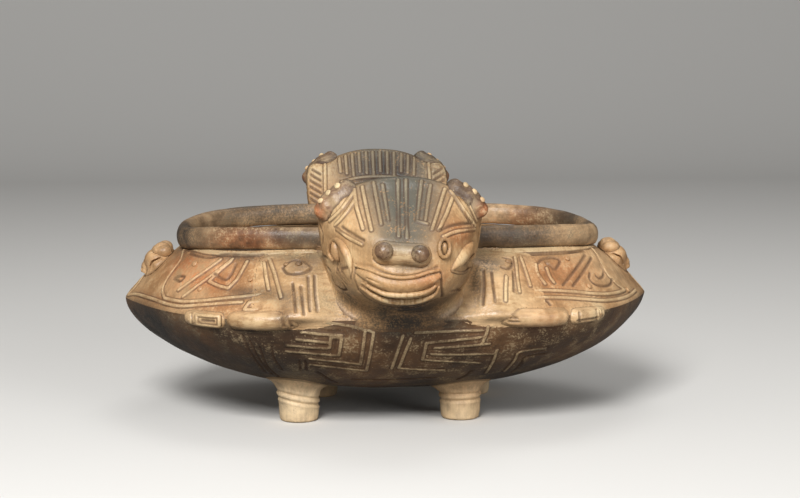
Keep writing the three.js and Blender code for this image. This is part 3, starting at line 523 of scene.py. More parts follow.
# Lines of the face, the wide fan on the forehead and the strips under the ear rolls
FACE_LINES = {
    "ridge": (
        ((-2, 141.2), (-2.6, 128.8), (-3.7, 114.1)), ((2.2, 141.5), (1.5, 128.8), (0.5, 113.2)),
        ((-15, 140.6), (-13.5, 130.1), (-12.2, 120)), ((-10.2, 138.3), (-9.1, 129.5), (-8.4, 122)),
        ((-20.9, 137.7), (-19.2, 127), (-17.4, 116.9)), ((-25.3, 137.7), (-24.3, 127.6), (-21.7, 117.4)),
        ((10.4, 140.8), (8.4, 130.6), (6.6, 122.5)), ((14.9, 138.1), (12.7, 129.3), (10.8, 121.9)),
        ((6.2, 121.8), (11.6, 120.2)), ((22.5, 136.1), (18.2, 126.8), (13.9, 117.4)),
        ((26, 131.6), (22.2, 124.3), (17.6, 117.1)), ((-27.5, 137.5), (-34.2, 130.2), (-40.4, 122.4)),
        ((-25.6, 134.4), (-31.7, 126.8), (-38.2, 119.6)), ((-25.4, 130.6), (-30, 124.4), (-35.2, 117.9)),
        ((25.4, 135), (31, 127.2), (38.6, 116.4)), ((28.4, 136.9), (34.6, 129.2), (39.8, 118.6)),
        ((-34.3, 115.8), (-28.8, 112.2), (-22.8, 109.4)),
    ),
    "cut curve": (
        ((26.9, 132.6), (31.4, 124.8), (36.6, 116.8)),
        ((17.2, 116.6), (23.8, 118.3), (30, 118.6), (36.6, 117.9)),
        ((-36, 97.4), (-33.2, 95.4), (-29.6, 96.6)),
        ((-36.6, 89.5), (-34.8, 84.5), (-31.4, 82.2), (-29.5, 83.4), (-31.2, 87)),
        ((27.6, 84), (32.5, 79.9), (36, 81.6), (37.8, 85.6)),
        ((22, 107.6), (20, 111.2), (18, 107.6), (20, 104), (22, 107.6)),
        ((24.6, 83.6), (29.6, 82), (33, 84.4)),
        ((-24.5, 99.3), (-18.2, 98.6), (-11.1, 95.9), (-5.1, 94.2), (2.9, 94.3), (9.6, 96.4), (16.4, 98.2)),
        ((-16.6, 102.4), (-13, 99.8), (-7.7, 99), (0, 98.5), (6.6, 98.1), (10.9, 99.8)),
        ((-24, 84.5), (-15, 77), (-4, 73.4), (8, 73.8), (17.5, 80)),
    ),
    "cut": (
        ((-31.9, 117.4), (-26.9, 114.2), (-21.6, 111.6)), ((-32.6, 94.1), (-30.4, 92.6), (-28.1, 89.5)),
        ((-34.6, 92.4), (-32, 90.4), (-29.5, 87)), ((-25.9, 99.2), (-26, 91.8), (-24.2, 85.4)),
        ((18.3, 95.1), (18.7, 88.4), (19.6, 80.5)), ((-35.2, 94.7), (-30.4, 90.5)),
    ),
    "ridge curve": (
        ((19.6, 113.4), (27.2, 115.2), (38.3, 114.6)),
    ),
}

# The back of each head plate, as seen from behind it
PLATE_STRIPS = (-23.5, -19.6, -15.4, -10.8, -6.6, -2, 2.4, 6.6, 11, 15.2, 19.4, 23.4)
PLATE_LINES = {
    "ridge": tuple(
        ((across, 141 - abs(across) * 0.05), (across * 0.96, 127 + i % 3))
        for i, across in enumerate(PLATE_STRIPS)
    ) + tuple(((side * 32, 138), (side * 32.4, 104)) for side in (-1, 1)),
    "ridge curve": (((-22, 123), (-12, 125.4), (0, 126), (12, 125.4), (22, 123)),),
    "cut curve": (((-20, 119.5), (-10, 121.8), (0, 122.4), (10, 121.8), (20, 119.5)),),
    "cut": tuple(((side * 35, 106 + 3.6 * i), (side * 42, 110 + 3.6 * i))
                 for side in (-1, 1) for i in range(7)),
}

# The sides of each head, as places forward and up
SIDE_PANEL_LINES = {
    "cut curve": (
        ((88, 133), (100, 131), (112, 124)), ((84, 112), (92, 118), (100, 112), (92, 104), (84, 112)),
    ),
    "cut": (
        ((80, 98), (94, 99), (104, 96)), ((80, 93), (92, 94), (101, 91)),
    ),
}

# Small pellets pressed onto the shoulder, as places across and up
SHOULDER_PELLETS = (
    (-109.5, 90.0), (-106.5, 78.4), (-79.4, 84.7), (-60.0, 93.0), (-53.3, 93.4), (95.4, 92.3), (106.6, 77.8),
    (60.3, 93.2), (134.2, 70.9),
)

# Where smoke and painted shade, red slip, rubbing and painted light, and dark pigment lie: a middle, how far
# it reaches each way, and how strong it is. Each is repeated on the back, turned by half a turn. The dark
# patches are partly smoke clouds of the firing and partly painted shade, and the pale ones partly rubbed clay
# and partly painted light, as marked below.
SMOKE_AND_PAINTED_SHADE = (
    ((-117, -20, 105), (16, 46, 14), 0.99), ((-90, -60, 96), (34, 18, 3.2), 0.7),
    ((-50, -78, 97), (20, 18, 3.4), 0.75), ((-49, -80, 91), (13, 14, 6), 0.5),
    ((-74, -80, 78), (18, 20, 3.4), 0.65), ((-57, -92, 76), (9, 16, 6), 0.6),
    ((-62, -92, 66), (6, 16, 5), 0.7), ((-134, -10, 55), (28, 60, 13), 0.97),
    ((-104, -50, 40), (30, 50, 22), 0.75), ((-62, -60, 30), (24, 40, 14), 0.4),
    # The second patch paints the shade along the right side of the head, where it meets the shoulder
    ((48, -82, 93), (12, 16, 6), 0.9), ((41.5, -90, 84), (4, 14, 15), 0.85),
    # Painted shade under the muzzle, at both sides of the chin
    ((-32, -106, 78), (13, 22, 9), 0.95), ((28, -110, 79), (14, 20, 7), 0.65),
    ((-8, -87, 132), (34, 15, 22), 0.99), ((132, 0, 46), (26, 60, 15), 0.55),
    # The second patch darkens the bottom of the bowl
    ((92, -40, 30), (40, 50, 14), 0.45), ((0, 0, 14), (90, 70, 14), 0.55),
    ((40, -64, 108), (40, 14, 7), 0.35), ((-74, 60, 108), (60, 26, 12), 0.85),
    # Painted shade in the cheeks below the eyes, then in the two eye hollows
    ((35, -116, 90), (8, 20, 5), 0.5), ((-34, -116, 91), (6, 20, 6), 0.55),
    ((-34, -116, 97.5), (3, 12, 2), 0.9), ((36, -114, 96.6), (4.5, 12, 1.8), 0.95),
    # Painted shade on the throat under the muzzle
    ((0, -110, 72), (34, 18, 7), 0.97), ((0, -99, 63), (36, 14, 8), 0.92),
    ((-45, -72, 106), (26, 20, 4), 0.75),
)
RED_SLIP = (
    ((-104, -45, 84), (22, 36, 10), 0.95), ((-114, -40, 88), (9, 30, 7), 0.7),
    ((-84, -62, 102), (22, 20, 8), 0.45), ((88, -60, 84), (26, 30, 10), 0.45),
    ((28, -120, 114), (10, 16, 7), 0.6), ((12, -132, 93), (10, 16, 6), 0.6),
    ((-43, -104, 124), (5, 12, 5), 0.9), ((43, -104, 124), (5, 12, 5), 0.6),
    ((-34, -116, 105), (5, 14, 9), 0.45), ((74, -90, 64), (14, 20, 5), 0.4),
    ((-88, -40, 70), (50, 50, 3), 0.5),
)
CREAM_AND_PAINTED_LIGHT = (
    ((-40, -90, 80), (9, 20, 16), 0.55), ((-72, -84, 97.5), (50, 30, 2.4), 0.95),
    ((76, -84, 97.5), (46, 30, 2.4), 0.9), ((58, -92, 76), (10, 20, 9), 0.5),
    ((33, -104, 124), (7, 14, 10), 0.6), ((-34, -104, 124), (7, 14, 10), 0.6),
    # Painted light on the fronts of the two feet
    ((-52.5, -37, 6), (12, 12, 11), 0.85), ((38.3, -37, 6), (12, 12, 11), 0.85),
    ((-75, -90, 65), (14, 20, 6), 0.6), ((110, -70, 64), (5, 20, 6), 0.9),
    # The second patch paints light on the lower lip
    ((70, -88, 64), (12, 20, 5), 0.45), ((-3, -136, 81), (14, 12, 5), 0.98),
    # The second patch paints a highlight along the lid of the left eye
    ((-2.5, -138, 106), (10, 8, 5), 0.7), ((-28, -122, 101), (3, 14, 7), 0.8),
    ((29.5, -118, 101), (5, 14, 5), 0.8), ((0, -134, 99), (14, 16, 5), 0.3),
    ((100, -70, 64), (12, 20, 5), 0.5), ((-104, -70, 64), (12, 20, 5), 0.45),
    ((28, -92, 70), (10, 16, 8), 0.4), ((38, -91, 130), (14, 6.5, 14), 0.9),
    ((-38, -91, 130), (14, 6.5, 14), 0.9),
)
PIGMENT = (
    ((0, -114, 140), (26, 40, 14), 0.95), ((-8, -90, 132), (30, 14, 17), 0.98),
    ((0, -124, 127), (19, 40, 12), 0.95), ((-1, -131, 114), (17, 30, 9), 0.85),
    ((2, -138, 99), (9, 30, 3), 0.55),
)


def shares(points, patches):
    """How strongly the patches and their turned copies cover each point."""
    bare = np.ones(len(points))
    for middle, reach, amount in patches:
        for turn in (1, -1):
            offset = (points - np.array(middle) * (turn, turn, 1)) / np.array(reach)
            bare *= 1 - amount * (1 if turn == 1 else 0.85) * np.exp(-(offset ** 2).sum(1) ** 1.3)
    return 1 - bare


def front_of(field, x, z):
    """How far back the clay begins at places across and up, coming from the front."""
    y = np.arange(-115.0, 2.0, 0.5)
    values = field(x[:, None], y[None, :], z[:, None])
    first = np.where((values < 0).any(1), np.argmax(values < 0, 1), np.argmin(np.abs(values), 1))
    first = np.maximum(first, 1)
    rows = np.arange(len(x))
    before, after = values[rows, first - 1], values[rows, first]
    share = np.clip(before / np.where(np.abs(before - after) > 1e-6, before - after, 1), 0, 1)
    return y[first - 1] + share * 0.5


def on_front(field, places):
    """Places across and up, laid on the front of the clay."""
    return np.stack([places[:, 0], front_of(field, places[:, 0], places[:, 1]), places[:, 1]], 1)


def dense(places, curved, step=2.5):
    """A path of short steps through places across and up."""
    p = smooth_path(places) if curved else np.array(places, float)
    out = [p[:1]]
    for a, b in zip(p[:-1], p[1:]):
        count = max(1, int(math.ceil(np.linalg.norm(b - a) / step)))
        out.append(a + (b - a) * (np.arange(1, count + 1) / count)[:, None])
    return np.concatenate(out)


def lay_lines(lines, lay):
    """The lines on a surface, as paths in space. lay gives the missing coordinate of each place."""
    cuts, ridges = [], []
    for style, paths in lines.items():
        laid = [lay(dense(places, style.endswith("curve"))) for places in paths]
        (ridges if style.startswith("ridge") else cuts).extend(laid)
    return cuts, ridges


def line_distance(points, paths):
    """Distance from each point to the nearest path, up to the reach of a line."""
    near = np.full(len(points), LINE_REACH)
    for path in paths:
        low, high = path.min(0) - LINE_REACH, path.max(0) + LINE_REACH
        chosen = np.flatnonzero(((points > low) & (points < high)).all(1))
        if not len(chosen):
            continue
        local = points[chosen]
        best = np.full(len(chosen), LINE_REACH ** 2)
        for a, b in zip(path[:-1], path[1:]):
            d = b - a
            share = np.clip((local - a) @ d / (d @ d + 1e-9), 0, 1)
            best = np.minimum(best, ((local - a - share[:, None] * d) ** 2).sum(1))
        near[chosen] = np.minimum(near[chosen], np.sqrt(best))
    return near


def line_relief(cut_gap, ridge_gap, depth):
    """How far the clay is pushed in or out near the lines, in millimetres."""
    cut = -np.exp(-(cut_gap / CUT_WIDTH) ** 2)
    burr = 0.2 * np.exp(-((cut_gap - BURR_AT) / BURR_WIDTH) ** 2)
    ridge = 0.65 * np.exp(-(ridge_gap / RIDGE_WIDTH) ** 2.4)
    flanks = 0.45 * np.exp(-((ridge_gap - FLANK_AT) / FLANK_WIDTH) ** 2)
    return depth * (cut + burr + ridge - flanks)


def hand_waves(points, size, amount):
    """Gentle unevenness of hand-built clay, never above nought."""
    x, y, z = (points / size).T
    wave = (np.sin(1.7 * x + 0.9 * y + 0.4) * np.sin(1.3 * y - 0.8 * z + 1.1)
            + 0.6 * np.sin(2.9 * x - 1.7 * z + 2.3) * np.sin(2.3 * z + 1.9 * y))
    return amount * (wave / 1.6 - 1) / 2


# Meshes

def half_turn(points):
    """Places turned by half a turn about Z, from the front of the bowl to the back."""
    return points * np.array([-1.0, -1.0, 1.0])


def skin(field, low, step):
    """The closed surface around the places where a field is below nought."""
    inside = field < 0
    shape = np.array(field.shape) - 1
    count = np.zeros(shape, np.int8)
    for i in (0, 1):
        for j in (0, 1):
            for k in (0, 1):
                count += inside[i:i + shape[0], j:j + shape[1], k:k + shape[2]]
    cells = np.argwhere((count > 0) & (count < 8))
    number = np.full(shape, -1, np.int64)
    number[tuple(cells.T)] = np.arange(len(cells))
    total = np.zeros((len(cells), 3))
    hits = np.zeros(len(cells))
    for axis in range(3):
        sides = [other for other in range(3) if other != axis]
        for du in (0, 1):
            for dv in (0, 1):
                start = np.zeros(3, np.int64)
                start[sides[0]], start[sides[1]] = du, dv
                end = start.copy()
                end[axis] = 1
                a = field[tuple((cells + start).T)].astype(float)
                b = field[tuple((cells + end).T)].astype(float)
                crossing = (a < 0) != (b < 0)
                spot = np.tile(start.astype(float), (len(cells), 1))
                spot[:, axis] = a / np.where(crossing, a - b, 1)
                total += spot * crossing[:, None]
                hits += crossing
    points = (cells + total / hits[:, None]) * step + np.array(low)
    faces = []
    for axis in range(3):
        u, v = (axis + 1) % 3, (axis + 2) % 3
        near = np.take(inside, np.arange(field.shape[axis] - 1), axis)
        far = np.take(inside, np.arange(1, field.shape[axis]), axis)
        edges = np.argwhere(near != far)
        edges = edges[(edges[:, u] > 0) & (edges[:, v] > 0)
                      & (edges[:, u] < shape[u]) & (edges[:, v] < shape[v])]
        inward = near[tuple(edges.T)]
        corners = []
        for du, dv in ((-1, -1), (0, -1), (0, 0), (-1, 0)):
            cell = edges.copy()
            cell[:, u] += du
            cell[:, v] += dv
            corners.append(number[tuple(cell.T)])
        quads = np.stack(corners, 1)
        faces.append(np.where(inward[:, None], quads, quads[:, ::-1]))
    return points, np.concatenate(faces)


def carve(shape, low, high, step, ground):
    """A surface from a function that gives the field at open grids of places, and how far each of its
    points stands out of the ground that it is pressed onto."""
    axes = [np.arange(low[i], high[i] + step, step) for i in range(3)]
    x, y, z = axes[0][:, None, None], axes[1][None, :, None], axes[2][None, None, :]
    field = np.array(np.broadcast_to(shape(x, y, z), [len(a) for a in axes]), np.float32)
    below = np.broadcast_to(ground(x, y, z), field.shape)
    field[0], field[-1] = np.maximum(field[0], 0.5), np.maximum(field[-1], 0.5)
    field[:, 0], field[:, -1] = np.maximum(field[:, 0], 0.5), np.maximum(field[:, -1], 0.5)
    field[:, :, 0] = np.maximum(field[:, :, 0], 0.5)
    field[:, :, -1] = np.maximum(field[:, :, -1], 0.5)
    points, faces = skin(field, low, step)
    spot = (points - np.array(low)) / step
    cell = spot.astype(np.int32)
    return points, faces, read_grid(below, cell.T, (spot - cell).T)


def point_normals(points, faces):
    """Directions out of a closed surface at its points."""
    corners = points[faces[:, :4]]
    normal = np.cross(corners[:, 2] - corners[:, 0], corners[:, 3] - corners[:, 1])
    out = np.zeros_like(points)
    for i in range(4):
        for axis in range(3):
            out[:, axis] += np.bincount(faces[:, i], normal[:, axis], len(points))
    return out / (np.linalg.norm(out, axis=1, keepdims=True) + 1e-9)


def grid_faces(around_count, row_count, closed=False):
    """Faces of a grid that closes round the bowl and, if closed, also from its last row to its first."""
    i = np.arange(around_count)[:, None]
    j = np.arange(row_count if closed else row_count - 1)[None, :]
    after, above = (i + 1) % around_count, (j + 1) % row_count
    corner = [a * row_count + b for a, b in ((i, j), (after, j), (after, above), (i, above))]
    return np.stack([np.broadcast_to(c, (around_count, j.shape[1])).ravel() for c in corner], 1)


def grid_normals(grid, closed):
    """Directions out of such a grid at its points."""
    along = np.roll(grid, -1, 0) - np.roll(grid, 1, 0)
    up = np.roll(grid, -1, 1) - np.roll(grid, 1, 1) if closed else np.gradient(grid, axis=1)
    normal = np.cross(along, up)
    return normal / (np.linalg.norm(normal, axis=-1, keepdims=True) + 1e-9)


def new_mesh(name, points, faces):
    """A mesh in metres from points in millimetres and four-cornered faces."""
    mesh = bpy.data.meshes.new(name)
    mesh.vertices.add(len(points))
    mesh.vertices.foreach_set("co", (np.asarray(points) * MM).astype(np.float32).ravel())
    mesh.loops.add(faces.size)
    mesh.loops.foreach_set("vertex_index", faces.astype(np.int32).ravel())
    mesh.polygons.add(len(faces))
    mesh.polygons.foreach_set("loop_start", np.arange(0, faces.size, 4, dtype=np.int32))
    mesh.update(calc_edges=True)
    mesh.validate()
    mesh.shade_smooth()
    mesh.set_sharp_from_angle(angle=math.radians(SHARP_ANGLE))
    return mesh


def mark(mesh, points, cut_gap=LINE_REACH, ridge_gap=LINE_REACH, height=LINE_REACH):
    """Gives a mesh the values that the clays read: nearness to a cut, a ridge and a luted joint, and the
    stains together with the patches of painted light and shade."""
    marks = {
        "cut": np.clip(1 - cut_gap / 4, 0, 1),
        "ridge": np.clip(1 - ridge_gap / 4, 0, 1),
        "joint": np.clip(1 - height / JOINT_HEIGHT, 0, 1),
        "smoke": shares(points, SMOKE_AND_PAINTED_SHADE),
        "red_slip": shares(points, RED_SLIP),
        "cream": shares(points, CREAM_AND_PAINTED_LIGHT),
        "pigment": shares(points, PIGMENT),
    }
    for key, values in marks.items():
        values = np.broadcast_to(values, len(points)).astype(np.float32)
        mesh.attributes.new(key, "FLOAT", "POINT").data.foreach_set("value", values)


def finish(name, mesh, part, nodes):
    """Puts a finished mesh of a part's clay in the scene, in the place of the frame's nodes that it names."""
    slot, material = clay_of(part)
    piece = bpy.data.objects.new(name, mesh)
    bpy.context.scene.collection.objects.link(piece)
    mesh.materials.clear()
    mesh.materials.append(material)
    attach(piece, BODY)
    if nodes:
        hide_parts(*nodes)


def clay_piece(name, points, faces, part, node, **gaps):
    """A finished piece of clay in the place of one node of the frame."""
    mesh = new_mesh(name, points, faces)
    mark(mesh, points, **gaps)
    finish(name, mesh, part, [node])


def both_ends(node_pattern, points, faces, part, side=1, **gaps):
    """The same piece at the front and, turned by half a turn, at the back. side is the side of the front
    that it lies on, where 1 is right, and the turn brings it to the other hand."""
    for end, sign in (("front", 1), ("rear", -1)):
        node = node_pattern.format(end=end, hand="left" if sign * side < 0 else "right")
        placed = points if sign == 1 else half_turn(points)
        clay_piece(node + "_clay", placed, faces, part, node, **gaps)


# Clays

MATH, MAP_RANGE, MIX, NOISE, ATTRIBUTE = (
    "ShaderNodeMath", "ShaderNodeMapRange", "ShaderNodeMix", "ShaderNodeTexNoise", "ShaderNodeAttribute")


def add(tree, kind, settings=None, inputs=None, out=0):
    """Adds a node with its settings, sets or links its inputs, and gives the output that out names."""
    node = tree.nodes.new(kind)
    for key, value in (settings or {}).items():
        setattr(node, key, value)
    for key, value in (inputs or {}).items():
        if isinstance(value, bpy.types.NodeSocket):
            tree.links.new(value, node.inputs[key])
        else:
            node.inputs[key].default_value = value
    return node.outputs[out] if len(node.outputs) else None


def burnished_earthenware(name, clay, clay_dark, gloss, smoke, strokes, stroke_depth=0.06, mottle=0.52):
    """Low-fired earthenware, scraped, slipped and burnished with a pebble before firing.

    The pebble leaves narrow strokes with a soft sheen and the open fire leaves grey clouds. The raised lines
    are lightened, partly as wear and partly as a painted highlight; the cuts and the strips beside the ridges
    are darkened, partly as grime and partly as painted shade, and the luted joints by painted shade."""
    colours = bpy.context.scene.effigy_bowl_colours
    clay_colour, dark_colour, red_slip, cream, pigment, soot_and_painted_shade, soil_and_painted_shade = (
        tuple(getattr(colours, key)) + (1,)
        for key in (clay, clay_dark, "red_slip", "cream", "pigment", "soot_and_painted_shade", "soil_and_painted_shade"))
    material = bpy.data.materials.new(name)
    material.use_nodes = True
    tree = material.node_tree
    tree.nodes.clear()
    node = partial(add, tree)
    smooth = {"interpolation_type": "SMOOTHSTEP"}
    product, sum_of, larger = {"operation": "MULTIPLY"}, {"operation": "ADD"}, {"operation": "MAXIMUM"}
    layer, shade = {"data_type": "RGBA"}, {"data_type": "RGBA", "blend_type": "MULTIPLY"}
    spot = node("ShaderNodeTexCoord", out="Object")

    # Firing clouds about 45 mm across, blotches of about 8 mm, grit of about 1.1 mm and pits 3.2 mm apart
    cloud = node(NOISE, None,
                {"Vector": spot, "Scale": 1 / 0.045, "Detail": 3.0, "Roughness": 0.55})
    blotch = node(NOISE, None,
                 {"Vector": spot, "Scale": 1 / 0.008, "Detail": 4.0, "Roughness": 0.6})
    grit = node(NOISE, None,
               {"Vector": spot, "Scale": 1 / 0.0011, "Detail": 3.0, "Roughness": 0.65})
    pits = node("ShaderNodeTexVoronoi", None, {"Vector": spot, "Scale": 1 / 0.0032})
    # Burnishing strokes, narrow across and long the way that the pebble went
    way = node("ShaderNodeMapping", None, {
        "Vector": spot, "Scale": tuple(1 / (size * MM) for size in strokes)})
    stroke = node(NOISE, None, {"Vector": way, "Scale": 1.0, "Detail": 2.0})

    near_cut = node(ATTRIBUTE, {"attribute_name": "cut"}, out="Fac")
    near_ridge = node(ATTRIBUTE, {"attribute_name": "ridge"}, out="Fac")
    in_cut = node(MAP_RANGE, smooth, {"Value": near_cut, "From Min": 0.66, "From Max": 0.93})
    on_ridge = node(MAP_RANGE, smooth, {
        "Value": near_ridge, "From Min": 0.74, "From Max": 0.86})
    by_ridge = node(MAP_RANGE, smooth, {
        "Value": near_ridge, "From Min": 0.53, "From Max": 0.64, "To Max": 0.85})
    off_ridge = node(MATH, {"operation": "SUBTRACT"}, {0: by_ridge, 1: on_ridge})
    joint = node(ATTRIBUTE, {"attribute_name": "joint"}, out="Fac")
    joint = node(MAP_RANGE, smooth, {
        "Value": joint, "From Min": 0.4, "From Max": 0.9, "To Max": 0.8})
    fine = node(MATH, sum_of, {0: grit, 1: blotch})

    # The clay, lighter and darker in clouds, then the slip that is left on it
    clouded = node(MAP_RANGE, smooth, {"Value": cloud, "From Min": 0.34, "From Max": 0.66})
    colour = node(MIX, layer, {0: clouded, 6: clay_colour, 7: dark_colour}, 2)
    slip = node(ATTRIBUTE, {"attribute_name": "red_slip"}, out="Fac")
    worn = node(MATH, sum_of, {0: cloud, 1: blotch})
    worn = node(MAP_RANGE, smooth, {"Value": worn, "From Min": 0.66, "From Max": 1.06})
    slip = node(MATH, product, {0: slip, 1: worn})
    colour = node(MIX, layer, {0: slip, 6: colour, 7: red_slip}, 2)
    patchy = node(MAP_RANGE, None, {
        "Value": blotch, "From Min": 0.25, "From Max": 0.75,
        "To Min": 1 - mottle, "To Max": 1 + mottle * 0.7})
    colour = node(MIX, shade, {0: 0.85, 6: colour, 7: patchy}, 2)
    streaky = node(MAP_RANGE, None, {
        "Value": stroke, "From Min": 0.3, "From Max": 0.7, "To Min": 0.86, "To Max": 1.1})
    colour = node(MIX, shade, {0: 0.9, 6: colour, 7: streaky}, 2)

    # Pale places worn by rubbing and painted light, dark pigment on the forehead, and smoke clouds of the
    # open fire with painted shade
    # The cream mask lightens worn places and, where its patches say so, paints light
    wear_and_painted_light = node(ATTRIBUTE, {"attribute_name": "cream"}, out="Fac")
    streaks = node(MATH, sum_of, {0: blotch, 1: stroke})
    streaks = node(MAP_RANGE, smooth, {"Value": streaks, "From Min": 0.78, "From Max": 1.08})
    wear_and_painted_light = node(MATH, product, {0: wear_and_painted_light, 1: streaks})
    flecks = node(MAP_RANGE, smooth, {
        "Value": fine, "From Min": 1.0, "From Max": 1.3, "To Max": 0.5})
    wear_and_painted_light = node(MATH, larger, {0: wear_and_painted_light, 1: flecks})
    colour = node(MIX, layer, {0: wear_and_painted_light, 6: colour, 7: cream}, 2)
    painted = node(ATTRIBUTE, {"attribute_name": "pigment"}, out="Fac")
    grainy = node(MAP_RANGE, smooth, {"Value": fine, "From Min": 0.62, "From Max": 0.92})
    painted = node(MATH, product, {0: painted, 1: grainy})
    colour = node(MIX, layer, {0: painted, 6: colour, 7: pigment}, 2)
    # The smoke mask darkens smoke clouds and, where its patches say so, paints shade
    smoke_and_shade_amount = node(ATTRIBUTE, {"attribute_name": "smoke"}, out="Fac")
    smoke_and_shade_amount = node(MATH, sum_of, {0: smoke_and_shade_amount, 1: 0.16})
    drift = node(MATH, sum_of, {0: fine, 1: cloud})
    drift = node(MAP_RANGE, smooth, {
        "Value": drift, "From Min": 1.15, "From Max": 1.7, "To Min": 0.1, "To Max": 1.0})
    smoke_and_shade_amount = node(MATH, product, {0: smoke_and_shade_amount, 1: drift})
    smoke_and_shade_amount = node(MATH, product, {0: smoke_and_shade_amount, 1: smoke})
    colour = node(MIX, layer, {0: smoke_and_shade_amount, 6: colour, 7: soot_and_painted_shade}, 2)

    # Raised lines paler where no pigment lies, worn and painted highlight; soil and painted shade in cuts,
    # beside ridges and in joints; pale and dark grains of temper
    # Painted highlight with wear: the raised lines are lightened
    crest = node(MAP_RANGE, None, {
        "Value": fine, "From Min": 0.7, "From Max": 1.1, "To Min": 0.05, "To Max": 0.44})
    crest = node(MATH, product, {0: on_ridge, 1: crest})
    unpainted = node(MATH, {"operation": "MULTIPLY_ADD"}, {0: painted, 1: -0.62, 2: 1.0})
    crest = node(MATH, product, {0: crest, 1: unpainted})
    colour = node(MIX, layer, {0: crest, 6: colour, 7: cream}, 2)
    # Painted shade with soil: the cuts, the strips beside the ridges and the joints are darkened
    groove = node(MATH, larger, {0: in_cut, 1: off_ridge})
    groove = node(MATH, larger, {0: groove, 1: joint})
    soil_and_shade_amount = node(MAP_RANGE, None, {
        "Value": blotch, "From Min": 0.25, "From Max": 0.55, "To Min": 0.2, "To Max": 0.78})
    soil_and_shade_amount = node(MATH, product, {0: groove, 1: soil_and_shade_amount})
    colour = node(MIX, layer, {0: soil_and_shade_amount, 6: colour, 7: soil_and_painted_shade}, 2)
    pale_grain = node(MAP_RANGE, None, {
        "Value": grit, "From Min": 0.66, "From Max": 0.74, "To Max": 0.4})
    colour = node(MIX, layer, {0: pale_grain, 6: colour, 7: cream}, 2)
    dark_grain = node(MAP_RANGE, None, {
        "Value": grit, "From Min": 0.36, "From Max": 0.28, "To Max": 0.5})
    colour = node(MIX, layer, {0: dark_grain, 6: colour, 7: soil_and_painted_shade}, 2)

    rough = node(MAP_RANGE, None, {
        "Value": fine, "From Min": 0.7, "From Max": 1.3, "To Min": gloss - 0.1, "To Max": gloss + 0.16})
    dull = node(MATH, product, {0: soil_and_shade_amount, 1: 0.3})
    rough = node(MATH, sum_of, {0: rough, 1: dull})

    # Heights in millimetres: slow waves, strokes, grit and pits
    height = node(MATH, product, {0: blotch, 1: 0.62})
    stroke_height = node(MATH, product, {0: stroke, 1: stroke_depth})
    height = node(MATH, sum_of, {0: height, 1: stroke_height})
    grit_height = node(MATH, product, {0: grit, 1: 0.15})
    height = node(MATH, sum_of, {0: height, 1: grit_height})
    pit_height = node(MAP_RANGE, smooth, {"Value": pits, "From Max": 0.32, "To Max": 0.06})
    height = node(MATH, sum_of, {0: height, 1: pit_height})
    bump = node("ShaderNodeBump", None, {"Strength": 1.0, "Distance": MM, "Height": height})
    surface = node("ShaderNodeBsdfPrincipled", None, {
        "Base Color": colour, "Roughness": rough, "Normal": bump, "IOR": 1.5, "Specular IOR Level": 0.45})
    node("ShaderNodeOutputMaterial", None, {"Surface": surface})
    return material


# Sections of the finished pieces

BOWL = BowlField()
AROUND_COUNT = 900


def even_rises(profile, total, fine_from, coarse):
    """Shares of the way along a profile, evenly spaced, with a few wide steps before fine_from."""
    rises = 1 - np.cos(np.linspace(0, 1, 400) * np.pi / 2)
    points = profile(np.array([np.pi / 2, np.pi / 3, 0.0]), rises)
    length = np.concatenate([[0], np.cumsum(np.linalg.norm(np.diff(points, axis=1), axis=2).mean(0))])
    start = np.interp(fine_from, points[0, :, 1], length)
    spots = np.concatenate([np.linspace(0, start, coarse, endpoint=False),
                            np.linspace(start, length[-1], total - coarse)])
    return np.interp(spots, length, rises)


def surface_lines(lines):
    """Lines of the front of the bowl laid on it, and their turned copies on the back."""
    cuts, ridges = lay_lines(lines, lambda places: on_front(BOWL, places))
    return cuts + [half_turn(p) for p in cuts], ridges + [half_turn(p) for p in ridges]


def push(points, normals, lines, waves, still=None):
    """Points pushed along their normals by the lines and the waves, with the gaps to the lines. still
    gives a height near which nothing is pushed."""
    cuts, ridges = lines
    depth = bpy.context.scene.effigy_bowl_sizes.line_depth / MM
    cut_gap, ridge_gap = line_distance(points, cuts), line_distance(points, ridges)
    lift = line_relief(cut_gap, ridge_gap, depth) + hand_waves(points, WAVE_LENGTH, waves)
    if still is not None:
        lift = lift * np.clip(np.abs(points[:, 2] - still) / 3, 0, 1)
    return points + normals * lift[:, None], cut_gap, ridge_gap


def wall_surface(angle, outside, inside, lines, closed, first_row=0):
    """Points of a wall with its lines cut into the outside, the gaps to them, and each point's row."""
    grid = place(angle, np.concatenate([outside, inside], 1))
    normals = grid_normals(grid, closed).reshape(-1, 3)
    points = grid.reshape(-1, 3)
    row = np.tile(np.arange(grid.shape[1]), len(angle))
    outer = (row >= first_row) & (row < outside.shape[1])
    cuts, ridges = np.full((2, len(points)), LINE_REACH)
    points[outer], cuts[outer], ridges[outer] = push(
        points[outer], normals[outer], surface_lines(lines), WAVES["wall"], KEEL_HEIGHT)
    return points, cuts, ridges, row


